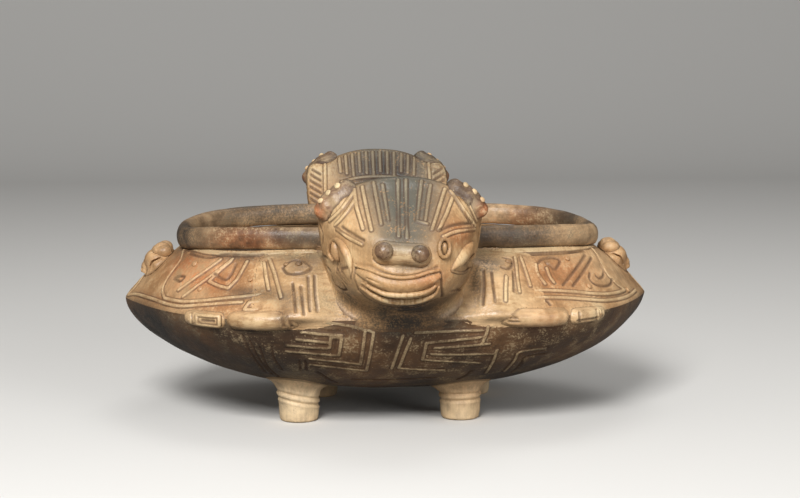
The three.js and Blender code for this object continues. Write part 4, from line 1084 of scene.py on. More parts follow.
def make_belly():
    """The bowl from its floor up to the keel: a closed wall with a fan of faces at each middle."""
    angle = around(AROUND_COUNT, 0.25)
    inset = WALL_THICKNESS * math.sqrt(2)
    outer = even_rises(lambda a, r: belly_points(a, r, FLOOR_HEIGHT, 0), 74, 20.0, 12)
    inner = 1 - np.cos(np.linspace(1, 0, 13) * np.pi / 2)
    points, cuts, ridges, row = wall_surface(
        angle, belly_points(angle, outer, FLOOR_HEIGHT, 0),
        belly_points(angle, inner, FLOOR_HEIGHT + WALL_THICKNESS, inset), BELLY_LINES, False, 1)
    edge = row == len(outer) - 1
    points[edge, 2] = np.minimum(points[edge, 2], KEEL_HEIGHT)

    # The first and last rows lie on the middle, and one point each takes their place
    keep = (row > 0) & (row < row.max())
    rows = row.max() - 1
    below, above = keep.sum(), keep.sum() + 1
    points = np.concatenate([points[keep], [[0, 0, FLOOR_HEIGHT], [0, 0, FLOOR_HEIGHT + WALL_THICKNESS]]])
    ring = np.arange(AROUND_COUNT) * rows
    first, second, third = ring[0::2], ring[1::2], np.roll(ring[0::2], -1)
    bottom = np.stack([np.full(len(first), below), third, second, first], 1)
    top = np.stack([np.full(len(first), above), first, second, third], 1)
    top[:, 1:] += rows - 1
    faces = np.concatenate([grid_faces(AROUND_COUNT, rows), bottom, top])
    clay_piece("belly", points, faces, "belly", "lower_bowl",
               cut_gap=np.append(cuts[keep], [LINE_REACH] * 2),
               ridge_gap=np.append(ridges[keep], [LINE_REACH] * 2))


def make_shoulder():
    """The wall that slopes in from the keel to the neck."""
    angle = around(AROUND_COUNT, 0.25)
    outside = np.concatenate([keel_edge_points(angle, 4), shoulder_points(angle, np.linspace(0, 1, 56))], 1)
    inside = inner_wall_points(angle, np.linspace(1, 0, 11))
    points, cuts, ridges, row = wall_surface(angle, outside, inside, SHOULDER_LINES, True)
    faces = grid_faces(AROUND_COUNT, row.max() + 1, True)
    clay_piece("shoulder", points, faces, "shoulder", "shoulder_wall", cut_gap=cuts, ridge_gap=ridges)


# Feet: the flare of a foot into the belly as heights and radii, the heights of its two cut rings, and half
# the width and the height of the space that it is carved in
FOOT_FLARE = ((17, 12.2), (23, 14.0), (27, 16.0))
FOOT_RINGS = (11.4, 15.2)
FOOT_SPACE = (22.0, 34.0)
SOLE_FLATTENING = 0.06


def foot_shape(centre, tilt):
    """A short conical foot with two cut rings, flared into the belly."""
    def shape(x, y, z):
        u, v = x - centre[0], y - centre[1]
        radius = np.hypot(u, v)
        side = np.interp(z, *zip((0, SOLE_RADIUS), (ANKLE_HEIGHT, ANKLE_RADIUS), *FOOT_FLARE))
        rings = 0
        for height in FOOT_RINGS:
            at = z - height - tilt * u
            rings = rings + 0.75 * np.exp(-(at / 0.7) ** 2) - 0.35 * np.exp(-((np.abs(at) - 1.5) / 0.7) ** 2)
        dents = 0.35 * np.sin(u * 0.35 + v * 0.22 + 1.0) * np.sin(z * 0.3)
        foot = radius - side + rings * (z < 19) + dents
        foot = overlap(foot, -z, 1.6)
        return luted(foot, BOWL(x, y, z), 5.0, 1.2)
    return shape


def make_feet():
    """Four feet, each leaning by its own tilt."""
    for side, tilt in ((-1, -0.2), (1, 0.03)):
        centre = (side * FOOT_SIDEWAYS - FOOT_OFF_CENTRE, -FOOT_FORWARD)
        reach, top = FOOT_SPACE
        points, faces, height = carve(foot_shape(centre, tilt), (centre[0] - reach, centre[1] - reach, -1.0),
                                      (centre[0] + reach, centre[1] + reach, top), SPACING["foot"], BOWL)
        points[:, 2] = np.where(points[:, 2] < SOLE_FLATTENING, 0.0, points[:, 2])
        both_ends("foot_{end}_{hand}", points, faces, "foot", side, height=height)


# Brows, cheeks and hollows of the face: place across and up, reach across and up, and height
FACE_LUMPS = (
    (-36, 114, 6, 4, 1.0), (34, 113, 7, 4, 0.9), (-30, 92, 8, 6, 0.9), (30, 90, 8, 7, 0.9),
    (-24, 103, 5, 7, -1.2), (27, 110, 4, 5, -0.6), (-34.2, 97.2, 3.4, 2.8, -2.0),
    (35.5, 96.4, 4.5, 2.0, -1.8), (0, 122, 14, 12, -1.0), (-12, 98.6, 12, 2.6, -0.9),
    (8, 98.2, 12, 2.6, -0.9), (38, 97, 4, 3, -1.4), (-39, 98, 3, 6, -1.0), (0, 114.5, 20, 2.5, 0.5),
)
FACE_LUMP_DEPTH = 9.0


def bare_head(x, y, z):
    """The head with its brows, cheeks and eye hollows."""
    out = -face_depth(np.asarray(x), np.asarray(z))
    lift = 0
    for across, up, wide, tall, amount in FACE_LUMPS:
        lift = lift + amount * np.exp(-((x - across) / wide) ** 2 - ((z - up) / tall) ** 2)
    return head_field(x, y, z) - lift * np.exp(-np.maximum(0, y - out) / FACE_LUMP_DEPTH)


# Height at which the throat runs out into the belly, and how far from the belly it still slopes
THROAT_FOOT = 63.0
THROAT_SLOPE_REACH = 6.0


def head_shape(x, y, z):
    """The head, luted to the bowl, with its throat sloping in to the keel."""
    head = bare_head(x, y, z)
    ground = BOWL(x, y, z)
    head = overlap(head, 0.75 * (THROAT_FOOT - z + np.minimum(ground, THROAT_SLOPE_REACH)), 3.0)
    return luted(head, ground, 5.0, 1.5)


def face_lay(places):
    """Places across and up, laid on the face."""
    return np.stack([places[:, 0], -face_depth(places[:, 0], places[:, 1]), places[:, 1]], 1)


def plate_lay(places):
    """Places across and up, laid on the back of the head."""
    return np.stack([places[:, 0], -head_back(places[:, 1]), places[:, 1]], 1)


# Half width of the sides of the head, at heights
SIDE_HEIGHTS = (58, 82, 97, 119)
SIDE_HALF_WIDTHS = (29.5, 35.5, 39.5, 43.0)


def side_lay(places, side):
    """Places forward and up, laid on one side of the head."""
    half = np.interp(places[:, 1], SIDE_HEIGHTS, SIDE_HALF_WIDTHS)
    return np.stack([side * half, -places[:, 0], places[:, 1]], 1)


def make_heads():
    """The two heads, with the lines of their faces, sides and backs."""
    points, faces, height = carve(
        head_shape, (-50.0, -143.0, 50.0), (50.0, -62.0, 144.5), SPACING["head"], BOWL)
    cuts, ridges = [], []
    for lines, lay in ((FACE_LINES, face_lay), (PLATE_LINES, plate_lay),
                       (SIDE_PANEL_LINES, lambda places: side_lay(places, -1)),
                       (SIDE_PANEL_LINES, lambda places: side_lay(places, 1))):
        more_cuts, more_ridges = lay_lines(lines, lay)
        cuts, ridges = cuts + more_cuts, ridges + more_ridges
    points, cut_gap, ridge_gap = push(points, point_normals(points, faces), (cuts, ridges), WAVES["head"])
    both_ends("{end}_head", points, faces, "head",
              cut_gap=cut_gap, ridge_gap=ridge_gap, height=height)


def on_face(across, up, proud=0.0):
    """A place on the face, or in front of it by how proud it stands."""
    return (across, -float(face_depth(np.array([across]), np.array([up]))[0]) - proud, up)


def face_coil(x, y, z, path, flat=(1.0, 1.0, 1.0)):
    """A coil along the face through places across and up, each with a radius and how proud it stands."""
    p = smooth_path([(a, b, r, s) for a, b, r, s in path], 5)
    return coil(x, y, z, [on_face(q[0], q[1], q[3]) for q in p], p[:, 2], flat)


# The nose: middles and radii of its two balls, and the bar between them as places across and up with how
# proud they stand, and radii
NOSTRILS = ((-11.7, -139.2, 107.3), (6.7, -139.2, 105.7))
NOSTRIL_RADII = (4.9, 4.7, 4.6)
NOSE_BAR = ((-11.3, 106.1, -0.6), (-2.4, 105.3, -1.0), (6.7, 104.5, -0.6))
NOSE_BAR_RADII = (6.0, 5.7, 6.0)


def make_noses():
    """The bars across the muzzles and the balls pressed into their ends."""
    def bar(x, y, z):
        body = coil(x, y, z, [on_face(*place) for place in NOSE_BAR], NOSE_BAR_RADII, (1.0, 0.8, 1.0))
        return luted(body, bare_head(x, y, z), 0.9)

    points, faces, height = carve(bar, (-20, -145, 96), (16, -128, 116), SPACING["nose"], bare_head)
    both_ends("{end}_nose_bar", points, faces, "nose_bar", height=height)
    for side, middle in zip((-1, 1), NOSTRILS):
        reach = max(NOSTRIL_RADII) + 1.1
        low, high = np.array(middle) - reach, np.array(middle) + reach
        points, faces, height = carve(
            lambda x, y, z: ball(x, y, z, middle, NOSTRIL_RADII), low, high, SPACING["nose"], bar)
        both_ends("{end}_nostril_{hand}", points, faces, "nose", side, height=height)


# The ring beside the right eye: its middle and half sizes across and up
RING_MIDDLE = (20.0, 107.6)
RING_REACH = (3.0, 4.7)
RING_POINTS = 14


def make_eyes():
    """One eye seen from the front, and one seen from the side with a ring beside it, as the photo shows."""
    def left_eye(x, y, z):
        lid = face_coil(x, y, z, [
            (-36.4, 98.6, 0.7, 0.0), (-38.3, 102.0, 1.0, 0.1), (-38.0, 106.8, 1.1, 0.1),
            (-35.6, 110.2, 1.3, 0.2), (-33.0, 109.4, 1.9, 0.5), (-30.4, 105.4, 2.2, 0.7),
            (-28.6, 100.6, 1.8, 0.6), (-27.6, 95.6, 1.1, 0.3), (-27.2, 91.6, 0.6, 0.0)])
        eyeball = ball(x, y, z, on_face(-34.7, 103.8, -1.4), (2.7, 3.0, 5.3), -12)
        return luted(np.minimum(eyeball, lid), bare_head(x, y, z), 0.7)

    def right_eye(x, y, z):
        leaf = face_coil(x, y, z, [(23.6, 95.8, 0.5, 0.0), (26.8, 98.9, 2.8, -0.9), (30.4, 102.4, 4.1, -1.7),
                                   (34.0, 105.2, 3.2, -1.3), (37.0, 107.6, 0.8, -0.2)])
        upper = face_coil(x, y, z, [(33.4, 98.2, 0.6, 0.3), (36.8, 98.6, 0.8, 0.4), (40.0, 100.6, 0.7, 0.0)])
        lower = face_coil(x, y, z, [(23.9, 95.2, 0.6, 0.0), (27.9, 93.6, 0.9, 0.2), (32.2, 92.8, 0.9, 0.1),
                                    (36.6, 93.6, 0.6, 0.0)])
        (across, up), (half_width, half_height) = RING_MIDDLE, RING_REACH
        ring = coil(x, y, z, [on_face(across + half_width * math.cos(t), up + half_height * math.sin(t), 0.5)
                              for t in np.linspace(0, 2 * np.pi, RING_POINTS)], [1.0] * RING_POINTS)
        iris = ball(x, y, z, on_face(*RING_MIDDLE, 0.1), (1.3, 1.4, 2.9))
        lids = np.minimum(np.minimum(leaf, upper), lower)
        return luted(np.minimum(np.minimum(lids, ring), iris), bare_head(x, y, z), 0.6)

    for side, shape, low, high in ((-1, left_eye, (-43, -133, 88), (-22, -104, 115)),
                                   (1, right_eye, (14, -141, 88), (44, -100, 115))):
        points, faces, height = carve(shape, low, high, SPACING["eye"], bare_head)
        both_ends("{end}_eye_{hand}", points, faces, "head", side, height=height)


def make_mouths():
    """The stacked ridges of each wide mouth, as an upper and a lower lip."""
    def upper(x, y, z):
        band = face_coil(x, y, z, [
            (-24.0, 95.4, 1.6, -0.6), (-18.6, 93.4, 3.0, -1.4), (-10.8, 90.4, 3.7, -1.9),
            (-3.4, 89.2, 3.8, -1.8), (5.0, 89.8, 3.7, -1.8), (11.4, 91.6, 3.0, -1.4),
            (16.2, 93.4, 1.8, -0.6)], (1.0, 0.9, 1.0))
        edge = face_coil(x, y, z, [(-25.6, 98.4, 0.7, 0.1), (-18.5, 96.9, 0.9, 0.3), (-11.1, 94.6, 1.0, 0.4),
                                   (-3.5, 93.4, 1.0, 0.4), (4.2, 94.0, 1.0, 0.4), (11.0, 95.9, 0.9, 0.3),
                                   (16.8, 96.6, 0.7, 0.1)])
        crease = face_coil(x, y, z, [(-20.0, 92.7, 0.5, 1.9), (-11.5, 89.5, 0.6, 2.3), (-3.4, 88.2, 0.6, 2.4),
                                     (8.9, 90.2, 0.6, 2.2), (14.1, 92.4, 0.5, 1.8)])
        return luted(np.maximum(np.minimum(band, edge), -crease), bare_head(x, y, z), 0.7)

    def lower(x, y, z):
        first = face_coil(x, y, z, [(-22.3, 90.0, 0.8, 0.3), (-16.4, 86.9, 1.1, 0.7), (-10.4, 84.6, 1.3, 0.8),
                                    (-3.2, 84.1, 1.4, 0.8), (4.9, 84.5, 1.3, 0.8), (11.1, 85.9, 1.1, 0.6),
                                    (15.0, 88.3, 0.8, 0.3)])
        second = face_coil(x, y, z, [(-22.9, 87.2, 0.8, 0.3), (-16.4, 83.2, 1.3, 1.7), (-9.4, 80.6, 1.6, 3.0),
                                     (-2.1, 79.7, 1.8, 3.6), (4.6, 80.0, 1.7, 3.3), (10.4, 81.6, 1.3, 2.1),
                                     (15.2, 84.2, 1.0, 0.5), (16.9, 87.6, 0.8, 0.2)])
        bar = face_coil(x, y, z, [(-20.4, 92.0, 0.6, 0.0), (-20.2, 89.6, 0.8, 0.5), (-20.2, 86.6, 0.7, 0.0)])
        return luted(np.minimum(np.minimum(first, second), bar), bare_head(x, y, z), 0.6)

    for label, shape, low, high in (("upper_lip", upper, (-30, -143, 82), (23, -120, 102)),
                                    ("lower_lip", lower, (-28, -142, 73), (22, -114, 97))):
        points, faces, height = carve(shape, low, high, SPACING["small"], bare_head)
        both_ends("{end}_" + label, points, faces, "head", height=height)


# How far the rolls are pressed into the corners each way, how far their middles bulge out, and the way that
# they bulge, across and up
EAR_SUNK = 2.5
EAR_BULGE = 0.9
EAR_OUT = (13.0, 14.5)


def ear_places(side, shares_along):
    """Places along the middle of an ear roll that is pressed into the corner of the head."""
    back = float(head_back(KEEL_HEIGHT + (EAR_INNER[1] + EAR_OUTER[1]) / 2))
    depth = back + EAR_DEPTH / 2 + EAR_SET_FORWARD
    out = []
    for share in shares_along:
        bulge = EAR_BULGE * 4 * share * (1 - share) / math.hypot(*EAR_OUT)
        across, up = (mix(EAR_INNER[i], EAR_OUTER[i], share) + bulge * EAR_OUT[i] - EAR_SUNK for i in (0, 1))
        out.append((side * across, -depth, KEEL_HEIGHT + up))
    return out


def make_ears():
    """A roll of clay over each upper corner of the heads."""
    for side in (-1, 1):
        spots = ear_places(side, np.linspace(0.04, 0.96, 9))
        radii = [EAR_THICKNESS / 2 * (1.02 + 0.22 * math.sin(math.pi * i / 8)) for i in range(9)]

        def ear(x, y, z):
            roll = coil(x, y, z, spots, radii, (1.0, 1.3, 1.0))
            step = 0.25 * np.sin((x * side * 0.7 - z * 0.7) * 0.9 + y * 0.5)
            return luted(roll + step, bare_head(x, y, z), 2.6)

        low = (min(side * 24, side * 47), -112, 119)
        high = (max(side * 24, side * 47), -90, 143)
        points, faces, height = carve(ear, low, high, SPACING["small"], bare_head)
        points[:, 2] = np.minimum(points[:, 2], EAR_TOP_LIMIT)
        both_ends("{end}_ear_{hand}", points, faces, "ear", side, height=height)


# Limbs, with the same lines as the shoulder where a limb covers them

ARM_LINES = {
    "cut curve": (
        ((-62.1, 91.4), (-58.1, 94.2), (-54, 95), (-50.1, 94.2), (-46.6, 91.6), (-50.3, 89.4),
         (-56.2, 88.6), (-60.1, 89), (-62.1, 91.4)),
        ((56, 91), (59.8, 90), (62.4, 91.6), (62, 94), (58.3, 95.1)),
    ),
    "cut": (
        ((-56.9, 84), (-56.3, 77.4), (-55.7, 70.5)), ((-52.6, 82.5), (-52, 75.9), (-51.4, 69.2)),
        ((-48.6, 87.2), (-48.4, 78.8), (-48, 70.8)), ((-45, 87.7), (-45, 78.9), (-44, 70.5)),
        ((50.1, 88.7), (50.2, 82.2), (50.7, 74.3)), ((61.8, 79), (62.3, 83.8), (62.6, 88)),
        ((45.8, 89.3), (45.6, 82.3), (44.2, 72.8)),
    ),
    "ridge": (
        ((58.2, 86.4), (57.2, 81), (56.5, 74.8)), ((64.8, 94.6), (64.6, 85.7), (65, 78.6)),
        ((68.2, 94.2), (69.8, 88.4), (71.6, 80.9)), ((-71.8, 93.2), (-70.9, 87), (-69.7, 80.6)),
        ((-68.6, 94.4), (-66.4, 88.5), (-63.2, 77.3)),
    ),
}

FOREARM_LINES = {
    "cut curve": (
        ((-57, 69.5), (-58.6, 66), (-57.4, 62)), ((-61.4, 69.5), (-62.6, 66), (-61.8, 62.4)),
    ),
    "cut": (
        ((58, 66.5), (62, 65.5)), ((58, 63.5), (63, 63.3)),
    ),
}

PAW_LINES = {
    "ridge": (
        ((-108.4, 66.4), (-96, 66.6), (-96, 61), (-108.2, 61.2), (-108.4, 66.4)),
        ((-111.6, 66), (-111.4, 61.6)), ((109.6, 66.2), (110, 61)),
    ),
    "cut": (
        ((-105.6, 63.9), (-99, 63.9)), ((97.2, 61.6), (109, 61.6)), ((98, 66.4), (98.2, 60.4)),
        ((112.8, 65), (112.8, 61.4)),
    ),
}


# The upper arm: its middle at a height, how it leans, its half width and thickness, where its two ends start
# to thin, and over how far
ARM_MIDDLE, ARM_MIDDLE_HEIGHT, ARM_LEAN = 53.5, 80.0, 0.12
ARM_HALF_WIDTH, ARM_THICKNESS, ARM_SQUARENESS = 13.4, 5.2, 2.4
ARM_TOP, ARM_TOP_FADE = 91.0, 4.2
ARM_FOOT, ARM_FOOT_FADE = 67.5, 3.5

# Forearm and paw: place across and up, how far the middle lies inside the wall, and its radius
FOREARM = ((54.5, 66.0, 2.0, 3.8), (60.0, 65.4, 0.6, 4.7), (68.0, 65.0, 0.0, 5.1), (76.0, 64.8, 0.0, 5.2),
           (83.0, 64.7, 0.4, 5.0), (87.6, 64.6, 1.0, 4.5))
PAW = ((97.0, 64.0, 1.0, 4.5), (103.0, 63.8, 0.9, 4.6), (109.0, 63.7, 1.0, 4.3), (112.4, 63.6, 1.6, 3.6))
PAW_HEIGHT = 63.8
PAW_HALF_THICKNESS = 4.3


def arm_lift(x, z, side):
    """How thick the upper arm lies on the front of the shoulder, at places across and up."""
    middle = side * (ARM_MIDDLE + ARM_LEAN * (ARM_MIDDLE_HEIGHT - z))
    ends = np.exp(-(np.maximum(0, z - ARM_TOP) / ARM_TOP_FADE) ** 2
                  - (np.maximum(0, ARM_FOOT - z) / ARM_FOOT_FADE) ** 2)
    return ARM_THICKNESS * np.exp(-(np.abs(x - middle) / ARM_HALF_WIDTH) ** ARM_SQUARENESS) * ends


def armed_bowl(x, y, z):
    """The outside of the bowl with its upper arms."""
    turn = np.where(np.asarray(y) < 0, 1.0, -1.0)
    lift = np.maximum(arm_lift(x * turn, z, -1), arm_lift(x * turn, z, 1))
    return BOWL(x, y, z) - lift * np.clip(np.abs(y) / 20, 0, 1)


def keel_spot(across, up, inward):
    """A place that lies inside the front of the bowl by a distance, near the keel."""
    x = np.array([across - 0.5, across, across + 0.5])
    y = front_of(BOWL, x, np.full(3, min(up, KEEL_HEIGHT - 0.2)))
    slope = y[2] - y[0]
    length = math.hypot(1, slope)
    return (across - slope / length * inward, y[1] + inward / length, up)


def limb_piece(label, side, shape, lines, low, high, step, ground):
    """One limb of the front with its lines, and its turned copy on the back."""
    near, far = sorted((side * low[0], side * high[0]))
    points, faces, height = carve(shape, (near, low[1], low[2]), (far, high[1], high[2]), step, ground)
    own_lines = {style: [path for path in paths if path[0][0] * side > 0] for style, paths in lines.items()}
    laid = lay_lines(own_lines, lambda places: on_front(shape, places))
    points, cut_gap, ridge_gap = push(points, point_normals(points, faces), laid, WAVES["limb"])
    both_ends(label + "_{end}_{hand}", points, faces, "limb", side,
              cut_gap=cut_gap, ridge_gap=ridge_gap, height=height)


def make_limbs():
    """Upper arms as pads on the shoulder, forearms as coils along the keel, and paws at their ends."""
    for side in (-1, 1):
        def upper_arm(x, y, z):
            ground = BOWL(x, y, z)
            lift = arm_lift(x, z, side) + 0 * y
            return np.maximum(np.maximum(ground - lift, -(ground + 0.8)), 0.06 - lift)

        def run_of(path):
            return [keel_spot(side * across, up, inward) for across, up, inward, _ in path]

        arm, hand = run_of(FOREARM), run_of(PAW)

        def forearm(x, y, z):
            roll = coil(x, y, z, arm, [place[3] for place in FOREARM])
            return luted(roll, armed_bowl(x, y, z), 1.3)

        def paw(x, y, z):
            pad = coil(x, y, z, hand, [place[3] for place in PAW])
            pad = overlap(pad, np.abs(z - PAW_HEIGHT) - PAW_HALF_THICKNESS, 1.6)
            return luted(pad, BOWL(x, y, z), 1.2)

        limb_piece("upper_arm", side, upper_arm, ARM_LINES, (26, -103, 56), (84, -56, 106), SPACING["limb"],
                   lambda x, y, z: JOINT_HEIGHT + BOWL(x, y, z))
        limb_piece("forearm", side, forearm, FOREARM_LINES, (45, -106, 54), (97, -68, 78), SPACING["limb"],
                   armed_bowl)
        limb_piece("paw", side, paw, PAW_LINES, (89, -98, 54), (121, -54, 75), SPACING["paw"], BOWL)


# Small heads over the two drawn-out ends

def side_skull(x, y, z):
    """A round skull that swells down to the bowl, with a coiled almond eye on each side."""
    skull = ball(x, y, z, (131.6, 0, 86.4), (7.6, 9.4, 7.0))
    skull = union(skull, ball(x, y, z, (129.4, 0, 81.6), (8.8, 9.8, 8.0)), 3.0)
    for side in (-1, 1):
        eye = coil(x, y, z, [(129.4, side * 9.3, 87.2), (132.2, side * 9.0, 84.6), (134.8, side * 7.4, 81.4)],
                   (0.8, 1.9, 0.8))
        skull = np.maximum(skull, 0.35 - np.abs(eye - 1.0))
        skull = union(skull, eye, 0.4)
    return skull


def side_snout(x, y, z):
    """A snout over a jaw, with the mouth open and two pricked nostrils."""
    snout = coil(x, y, z, [(134.6, 0, 85.0), (136.8, 0, 82.6), (137.6, 0, 80.6)], (4.8, 4.3, 3.8),
                 (1, 1.2, 1))
    jaw = coil(x, y, z, [(133.4, 0, 77.6), (137.6, 0, 76.6)], (3.0, 1.8), (1, 1.5, 1))
    mouth = coil(x, y, z, [(132.0, 0, 79.6), (144.0, 0, 77.9)], (0.9, 1.5), (1, 3.0, 1))
    out = np.maximum(np.minimum(snout, jaw), -mouth)
    for side in (-1, 1):
        out = np.maximum(out, -ball(x, y, z, (141.0, side * 1.9, 81.6), (0.8, 0.8, 0.8)))
    return out


def side_crest(x, y, z):
    """Four lobes in a row on a block."""
    lobes = [ball(x, y, z, (along, across, up), (4.4, size * 0.9, size)) for along, across, up, size in (
        (128.6, -6.0, 92.4, 3.3), (127.2, -2.0, 94.0, 3.5), (128.8, 2.2, 93.8, 3.4), (127.4, 6.2, 92.2, 3.2))]
    block = coil(x, y, z, [(125.4, 0, 91.8), (131.8, 0, 92.4)], (3.0, 3.0), (1, 2.6, 1))
    crest = union(union(lobes[0], lobes[1], 0.6), union(lobes[2], lobes[3], 0.6), 0.6)
    return union(crest, block, 0.8)


def make_side_heads():
    """A skull, snout and crest over each point, shaped at the right and turned for the left."""
    def skull_and_bowl(x, y, z):
        return union(side_skull(x, y, z), BOWL(x, y, z), 3.0)

    def head(x, y, z):
        return luted(side_skull(x, y, z), BOWL(x, y, z), 3.0)

    def snout(x, y, z):
        return luted(side_snout(x, y, z), skull_and_bowl(x, y, z), 1.0)

    def crest(x, y, z):
        return luted(side_crest(x, y, z), skull_and_bowl(x, y, z), 0.8)

    for label, shape, ground, low, high in (
            ("side_head", head, BOWL, (119, -14, 70), (147, 14, 98)),
            ("side_snout", snout, skull_and_bowl, (128, -10, 68), (148, 10, 94)),
            ("side_crest", crest, skull_and_bowl, (120, -13, 84), (138, 13, 99))):
        points, faces, height = carve(shape, low, high, SPACING["small"], ground)
        waves = hand_waves(points, SHORT_WAVE_LENGTH, WAVES["side_head"])
        points = points + point_normals(points, faces) * waves[:, None]
        both_ends(label + "_{hand}", points, faces, "side_head", height=height)


# Node trees: the coil of the rim, and pellets of clay pressed onto a surface

def rim_tree():
    """A coil of clay along a closed plan curve, squarish in section and pinched unevenly by hand."""
    tree = bpy.data.node_groups.new("rim_coil_section", "GeometryNodeTree")
    node = partial(add, tree)
    sockets = tree.interface
    sockets.new_socket("Geometry", in_out="INPUT", socket_type="NodeSocketGeometry")
    for label, value in (("Width", RIM_THICKNESS * MM), ("Height", RIM_COIL_HEIGHT * MM),
                         ("Roundness", RIM_SOFTNESS), ("Pinch length", PINCH_LENGTH),
                         ("Pinch depth", PINCH_DEPTH)):
        sockets.new_socket(label, in_out="INPUT", socket_type="NodeSocketFloat").default_value = value
    sockets.new_socket("Sides", in_out="INPUT", socket_type="NodeSocketInt").default_value = RIM_SIDES
    sockets.new_socket("Clay", in_out="INPUT", socket_type="NodeSocketMaterial")
    sockets.new_socket("Geometry", in_out="OUTPUT", socket_type="NodeSocketGeometry")
    given = node("NodeGroupInput").node.outputs
    product = {"operation": "MULTIPLY"}

    curve = node("GeometryNodeMeshToCurve", None, {"Mesh": given["Geometry"]})
    curve = node("GeometryNodeSetCurveNormal", {"mode": "Z_UP"}, {"Curve": curve})
    ring = node("GeometryNodeCurvePrimitiveCircle", None, {"Resolution": given["Sides"], "Radius": 1.0})
    at = node("ShaderNodeSeparateXYZ", None, {0: node("GeometryNodeInputPosition")}).node.outputs
    sides = []
    for value, size in ((at[0], given["Width"]), (at[1], given["Height"])):
        sign = node(MATH, {"operation": "SIGN"}, {0: value})
        reach = node(MATH, {"operation": "ABSOLUTE"}, {0: value})
        reach = node(MATH, {"operation": "POWER"}, {0: reach, 1: given["Roundness"]})
        half = node(MATH, product, {0: size, 1: 0.5})
        signed = node(MATH, product, {0: sign, 1: reach})
        sides.append(node(MATH, product, {0: signed, 1: half}))
    section = node("ShaderNodeCombineXYZ", None, {0: sides[0], 1: sides[1]})
    profile = node("GeometryNodeSetPosition", None, {"Geometry": ring, "Position": section})
    coil_mesh = node("GeometryNodeCurveToMesh", None, {"Curve": curve, "Profile Curve": profile})

    scale = node(MATH, {"operation": "DIVIDE"}, {0: 1.0, 1: given["Pinch length"]})
    noise = node(NOISE, {"noise_dimensions": "4D"}, {
        "W": 3.7, "Scale": scale, "Detail": 2.0})
    inward = node(MATH, {"operation": "SUBTRACT"}, {0: noise, 1: 0.95})
    inward = node(MATH, product, {0: inward, 1: given["Pinch depth"]})
    normal = node("GeometryNodeInputNormal")
    pinch = node("ShaderNodeVectorMath", {"operation": "SCALE"}, {0: normal, "Scale": inward})
    pinched = node("GeometryNodeSetPosition", None, {"Geometry": coil_mesh, "Offset": pinch})
    real = node("GeometryNodeRealizeInstances", None, {"Geometry": pinched})
    smooth = node("GeometryNodeSetShadeSmooth", None, {"Geometry": real})
    clay = node("GeometryNodeSetMaterial", None, {"Geometry": smooth, "Material": given["Clay"]})
    node("NodeGroupOutput", None, {"Geometry": clay})
    return tree


def pellet_tree():
    """A squashed lump on each point, turned to its surface and a little uneven in size."""
    tree = bpy.data.node_groups.new("pressed_pellets", "GeometryNodeTree")
    node = partial(add, tree)
    sockets = tree.interface
    sockets.new_socket("Geometry", in_out="INPUT", socket_type="NodeSocketGeometry")
    for label, value in (("Radius", 0.0023), ("Thickness", 0.0012), ("Smallest", 0.86)):
        sockets.new_socket(label, in_out="INPUT", socket_type="NodeSocketFloat").default_value = value
    sockets.new_socket("Clay", in_out="INPUT", socket_type="NodeSocketMaterial")
    sockets.new_socket("Geometry", in_out="OUTPUT", socket_type="NodeSocketGeometry")
    given = node("NodeGroupInput").node.outputs
    lump = node("GeometryNodeMeshUVSphere", None, {"Segments": 18, "Rings": 10, "Radius": 1.0})
    size = node("ShaderNodeCombineXYZ", None, {
        0: given["Radius"], 1: given["Radius"], 2: given["Thickness"]})
    squashed = node("GeometryNodeTransform", None, {"Geometry": lump, "Scale": size})
    toward = node("GeometryNodeInputNamedAttribute", {"data_type": "FLOAT_VECTOR"}, {"Name": "toward"})
    turn = node("FunctionNodeAlignRotationToVector", {"axis": "Z"}, {"Vector": toward})
    spread = node("FunctionNodeRandomValue", {"data_type": "FLOAT"}, {
        2: given["Smallest"], 3: 1.0, "Seed": 7}, 1)
    placed = node("GeometryNodeInstanceOnPoints", None, {
        "Points": given["Geometry"], "Instance": squashed, "Rotation": turn, "Scale": spread})
    real = node("GeometryNodeRealizeInstances", None, {"Geometry": placed})
    smooth = node("GeometryNodeSetShadeSmooth", None, {"Geometry": real})
    clay = node("GeometryNodeSetMaterial", None, {"Geometry": smooth, "Material": given["Clay"]})
    node("NodeGroupOutput", None, {"Geometry": clay})
    return tree


def run_tree(base, tree, settings):
    """The plain mesh that a tree makes of a base mesh, with its named inputs set first."""
    source = bpy.data.objects.new(base.name, base)
    bpy.context.scene.collection.objects.link(source)
    modifier = source.modifiers.new(tree.name, "NODES")
    modifier.node_group = tree
    for item in tree.interface.items_tree:
        if item.item_type == "SOCKET" and item.in_out == "INPUT" and item.name in settings:
            modifier[item.identifier] = settings[item.name]
    depsgraph = bpy.context.evaluated_depsgraph_get()
    mesh = bpy.data.meshes.new_from_object(source.evaluated_get(depsgraph), depsgraph=depsgraph)
    source.modifiers.remove(modifier)
    bpy.data.objects.remove(source)
    if not len(mesh.polygons):
        raise RuntimeError(base.name + ": the node tree made nothing")
    co = np.empty(len(mesh.vertices) * 3, np.float32)
    mesh.vertices.foreach_get("co", co)
    points = co.reshape(-1, 3).astype(float) / MM
    mesh.calc_loop_triangles()
    corners = np.empty(len(mesh.loop_triangles) * 3, np.int32)
    mesh.loop_triangles.foreach_get("vertices", corners)
    a, b, c = points[corners.reshape(-1, 3).T]
    if (a * np.cross(b, c)).sum() < 0:
        mesh.flip_normals()
    mark(mesh, points)
    return mesh


